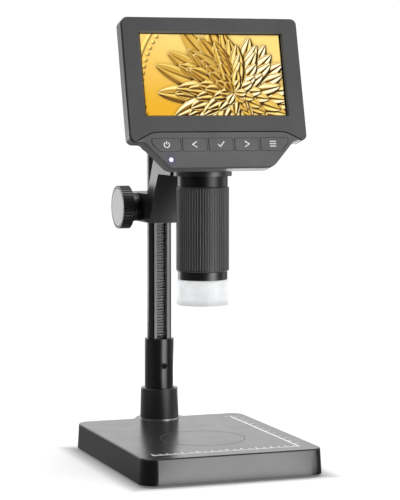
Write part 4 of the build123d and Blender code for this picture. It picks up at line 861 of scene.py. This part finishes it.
def floor():
    """A wide sheet of white paper under the feet, seen by gloss surfaces as a lit studio floor.

    To the eye it is paper in soft shadow near the object and plain white further out, with a
    narrow shadow round the base. A gloss surface sees it as dim, bright in a patch behind, with
    a bright patch before the front, a fainter one beside it, and a bright strip that runs out
    to the front right, where x over y lies in a band."""
    finish = Finish("floor_paper", (0.95, 0.95, 0.95), 0.9)
    fibre = finish.noise(finish.place(), 900.0, 3.0)
    finish.set("Roughness", 0.86 + fibre * 0.08)
    finish.set("Specular IOR Level", 0.0)
    tree = finish.tree
    x, y = finish.parts(finish.place())[:2]
    far = (x * x + y * y) ** 0.5
    beside = (x.size() - SHADOW_HALF_WIDTH).larger(
        (y - SHADOW_MID_Y).size() - SHADOW_HALF_LENGTH)
    # Painted shadow: a dark band round the foot of the base, mixed in over the paper.
    painted_contact_shadow = 1 - beside.step(-0.002, 0.014)
    across = x + (y + 0.085) * 0.37
    before = 1 - y.step(-0.125, -0.09)
    patch = across.band((-0.062, -0.052), (0.052, 0.056)) * before * y.step(-0.62, -0.46)
    corner = across.band((0.052, 0.056), (0.14, 0.16)) * before * y.step(-0.20, -0.16)
    bearing = x / (0.03 - y)
    strip = bearing.band((0.05, 0.55), (0.60, 1.3)) * (1 - y.step(-0.20, -0.10))
    behind = y.band((0.20, 0.26), (0.44, 0.52)) * x.band((0.11, 0.15), (0.30, 0.36))
    dim = 0.08 + y.step(-0.15, 0.05) * 0.16 + behind * FAR_GLOW
    glow = dim + (patch * PATCH_FRONT).larger(corner * PATCH_CORNER).larger(strip * PATCH_RIGHT)
    white, shade, mirrored = (
        finish.add("ShaderNodeEmission", {}, Color=(1.0, 1.0, 1.0, 1.0), Strength=strength)
        for strength in (1.02, 0.0, glow))
    gloss_ray = finish.add("ShaderNodeLightPath", {}, out=3)

    def blend(share, low, high):
        node = tree.nodes.new("ShaderNodeMixShader")
        for socket, wire in zip(node.inputs, (share, low, high)):
            tree.links.new(wire.socket, socket)
        return Wire(finish, node.outputs[0])

    lift = FLOOR_LIFT + (1 - FLOOR_LIFT) * far.step(0.20, 0.48)
    paper = blend(lift, Wire(finish, finish.shader.outputs[0]), white)
    paper = blend(painted_contact_shadow * 0.5, paper, shade)
    shown = blend(gloss_ray, paper, mirrored)
    tree.links.new(shown.socket, tree.nodes["Material Output"].inputs[0])
    mesh = bpy.data.meshes.new("floor")
    half = 30
    corners = [(-half, -half, 0), (half, -half, 0), (half, half, 0), (-half, half, 0)]
    mesh.from_pydata(corners, [], [(0, 1, 2, 3)])
    mesh.materials.append(finish.material)
    sheet = bpy.data.objects.new("floor", mesh)
    scene.collection.objects.link(sheet)


def softbox(name, place, aim, width, height, radiance):
    """A rectangular light of even brightness that faces a point."""
    lamp = bpy.data.lights.new(name, "AREA")
    lamp.shape, lamp.size, lamp.size_y = "RECTANGLE", width, height
    lamp.energy = radiance * math.pi * width * height
    holder = bpy.data.objects.new(name, lamp)
    holder.location = place
    holder.rotation_mode = "QUATERNION"
    holder.rotation_quaternion = (Vector(aim) - Vector(place)).to_track_quat("-Z", "Y")
    scene.collection.objects.link(holder)


def surroundings():
    """White behind the object for the camera; for all else a dark room with a bright back wall.

    The room's brightness rises with the direction's nearness to straight back, and less with its
    nearness to the right. Each wall is given by its direction, the nearness where it starts and
    where it is full, and its brightness outside and inside."""
    world = bpy.data.worlds.new("studio")
    world.use_nodes = True
    scene.world = world
    tree = world.node_tree
    back = tree.nodes["Background"]
    path = tree.nodes.new("ShaderNodeLightPath")
    where = tree.nodes.new("ShaderNodeTexCoord")
    total = tree.nodes.new("ShaderNodeMath")
    walls = (((0.0, 1.0, 0.0), 0.62, 0.92, 0.06, 1.22), ((1.0, 0.0, 0.0), 0.45, 0.95, 0.0, 0.9))
    for place, (facing, low, high, dim, bright) in enumerate(walls):
        near = tree.nodes.new("ShaderNodeVectorMath")
        near.operation = "DOT_PRODUCT"
        near.inputs[1].default_value = facing
        tree.links.new(where.outputs["Generated"], near.inputs[0])
        ramp = tree.nodes.new("ShaderNodeMapRange")
        ramp.interpolation_type = "SMOOTHSTEP"
        tree.links.new(near.outputs["Value"], ramp.inputs[0])
        for socket, value in zip(ramp.inputs[1:5], (low, high, dim, bright)):
            socket.default_value = value
        tree.links.new(ramp.outputs[0], total.inputs[place])
    room = tree.nodes.new("ShaderNodeBackground")
    room.inputs["Color"].default_value = (1, 1, 1, 1)
    tree.links.new(total.outputs[0], room.inputs["Strength"])
    back.inputs["Color"].default_value = (1, 1, 1, 1)
    back.inputs["Strength"].default_value = 1.05
    mixed = tree.nodes.new("ShaderNodeMixShader")
    tree.links.new(path.outputs["Is Camera Ray"], mixed.inputs[0])
    tree.links.new(room.outputs[0], mixed.inputs[1])
    tree.links.new(back.outputs[0], mixed.inputs[2])
    tree.links.new(mixed.outputs[0], tree.nodes["World Output"].inputs[0])


floor()
surroundings()
softbox("overhead", (0.0, 0.1, 1.6), (0, 0, 0), 2.4, 2.4, 1.0)
softbox("upper_right", (0.60, 0.1, 1.5), (0, 0, 0), 1.0, 1.0, 3.9)
softbox("back_left", (-0.30, 0.78, 0.10), (0, 0.0, 0.17), 0.34, 0.20, 3.4)
softbox("key", (0.60, -1.12, 0.29), (0.0, -0.02, 0.15), 0.95, 0.56, 1.4)
softbox("key_core", (0.57, -1.08, 0.29), (0.0, -0.02, 0.15), 0.45, 0.56, 2.8)
softbox("left_high", (-0.95, 0.12, 0.72), (0.0, -0.03, 0.22), 0.6, 0.5, 5.5)
softbox("right", (1.1, 0.15, 0.25), (0.0, -0.02, 0.15), 0.5, 0.6, 1.2)
softbox("front_high", (0.55, -1.1, 0.85), (0, -0.04, 0.22), 0.9, 0.6, 1.2)
scene.view_settings.view_transform = "Standard"

camera_data = bpy.data.cameras.new("camera")
camera_data.lens, camera_data.sensor_width = 140.0, 36.0
camera_data.clip_start, camera_data.clip_end = 0.05, 200.0
camera = bpy.data.objects.new("camera", camera_data)
camera.location = (-0.42882, -1.20775, 0.24049)
aside, down = math.radians(19.805), math.radians(4.474)
camera.rotation_mode = "QUATERNION"
camera.rotation_quaternion = Vector((
    math.sin(aside) * math.cos(down), math.cos(aside) * math.cos(down), -math.sin(down)
)).to_track_quat("-Z", "Y")
scene.collection.objects.link(camera)
scene.camera = camera

bpy.context.view_layer.update()
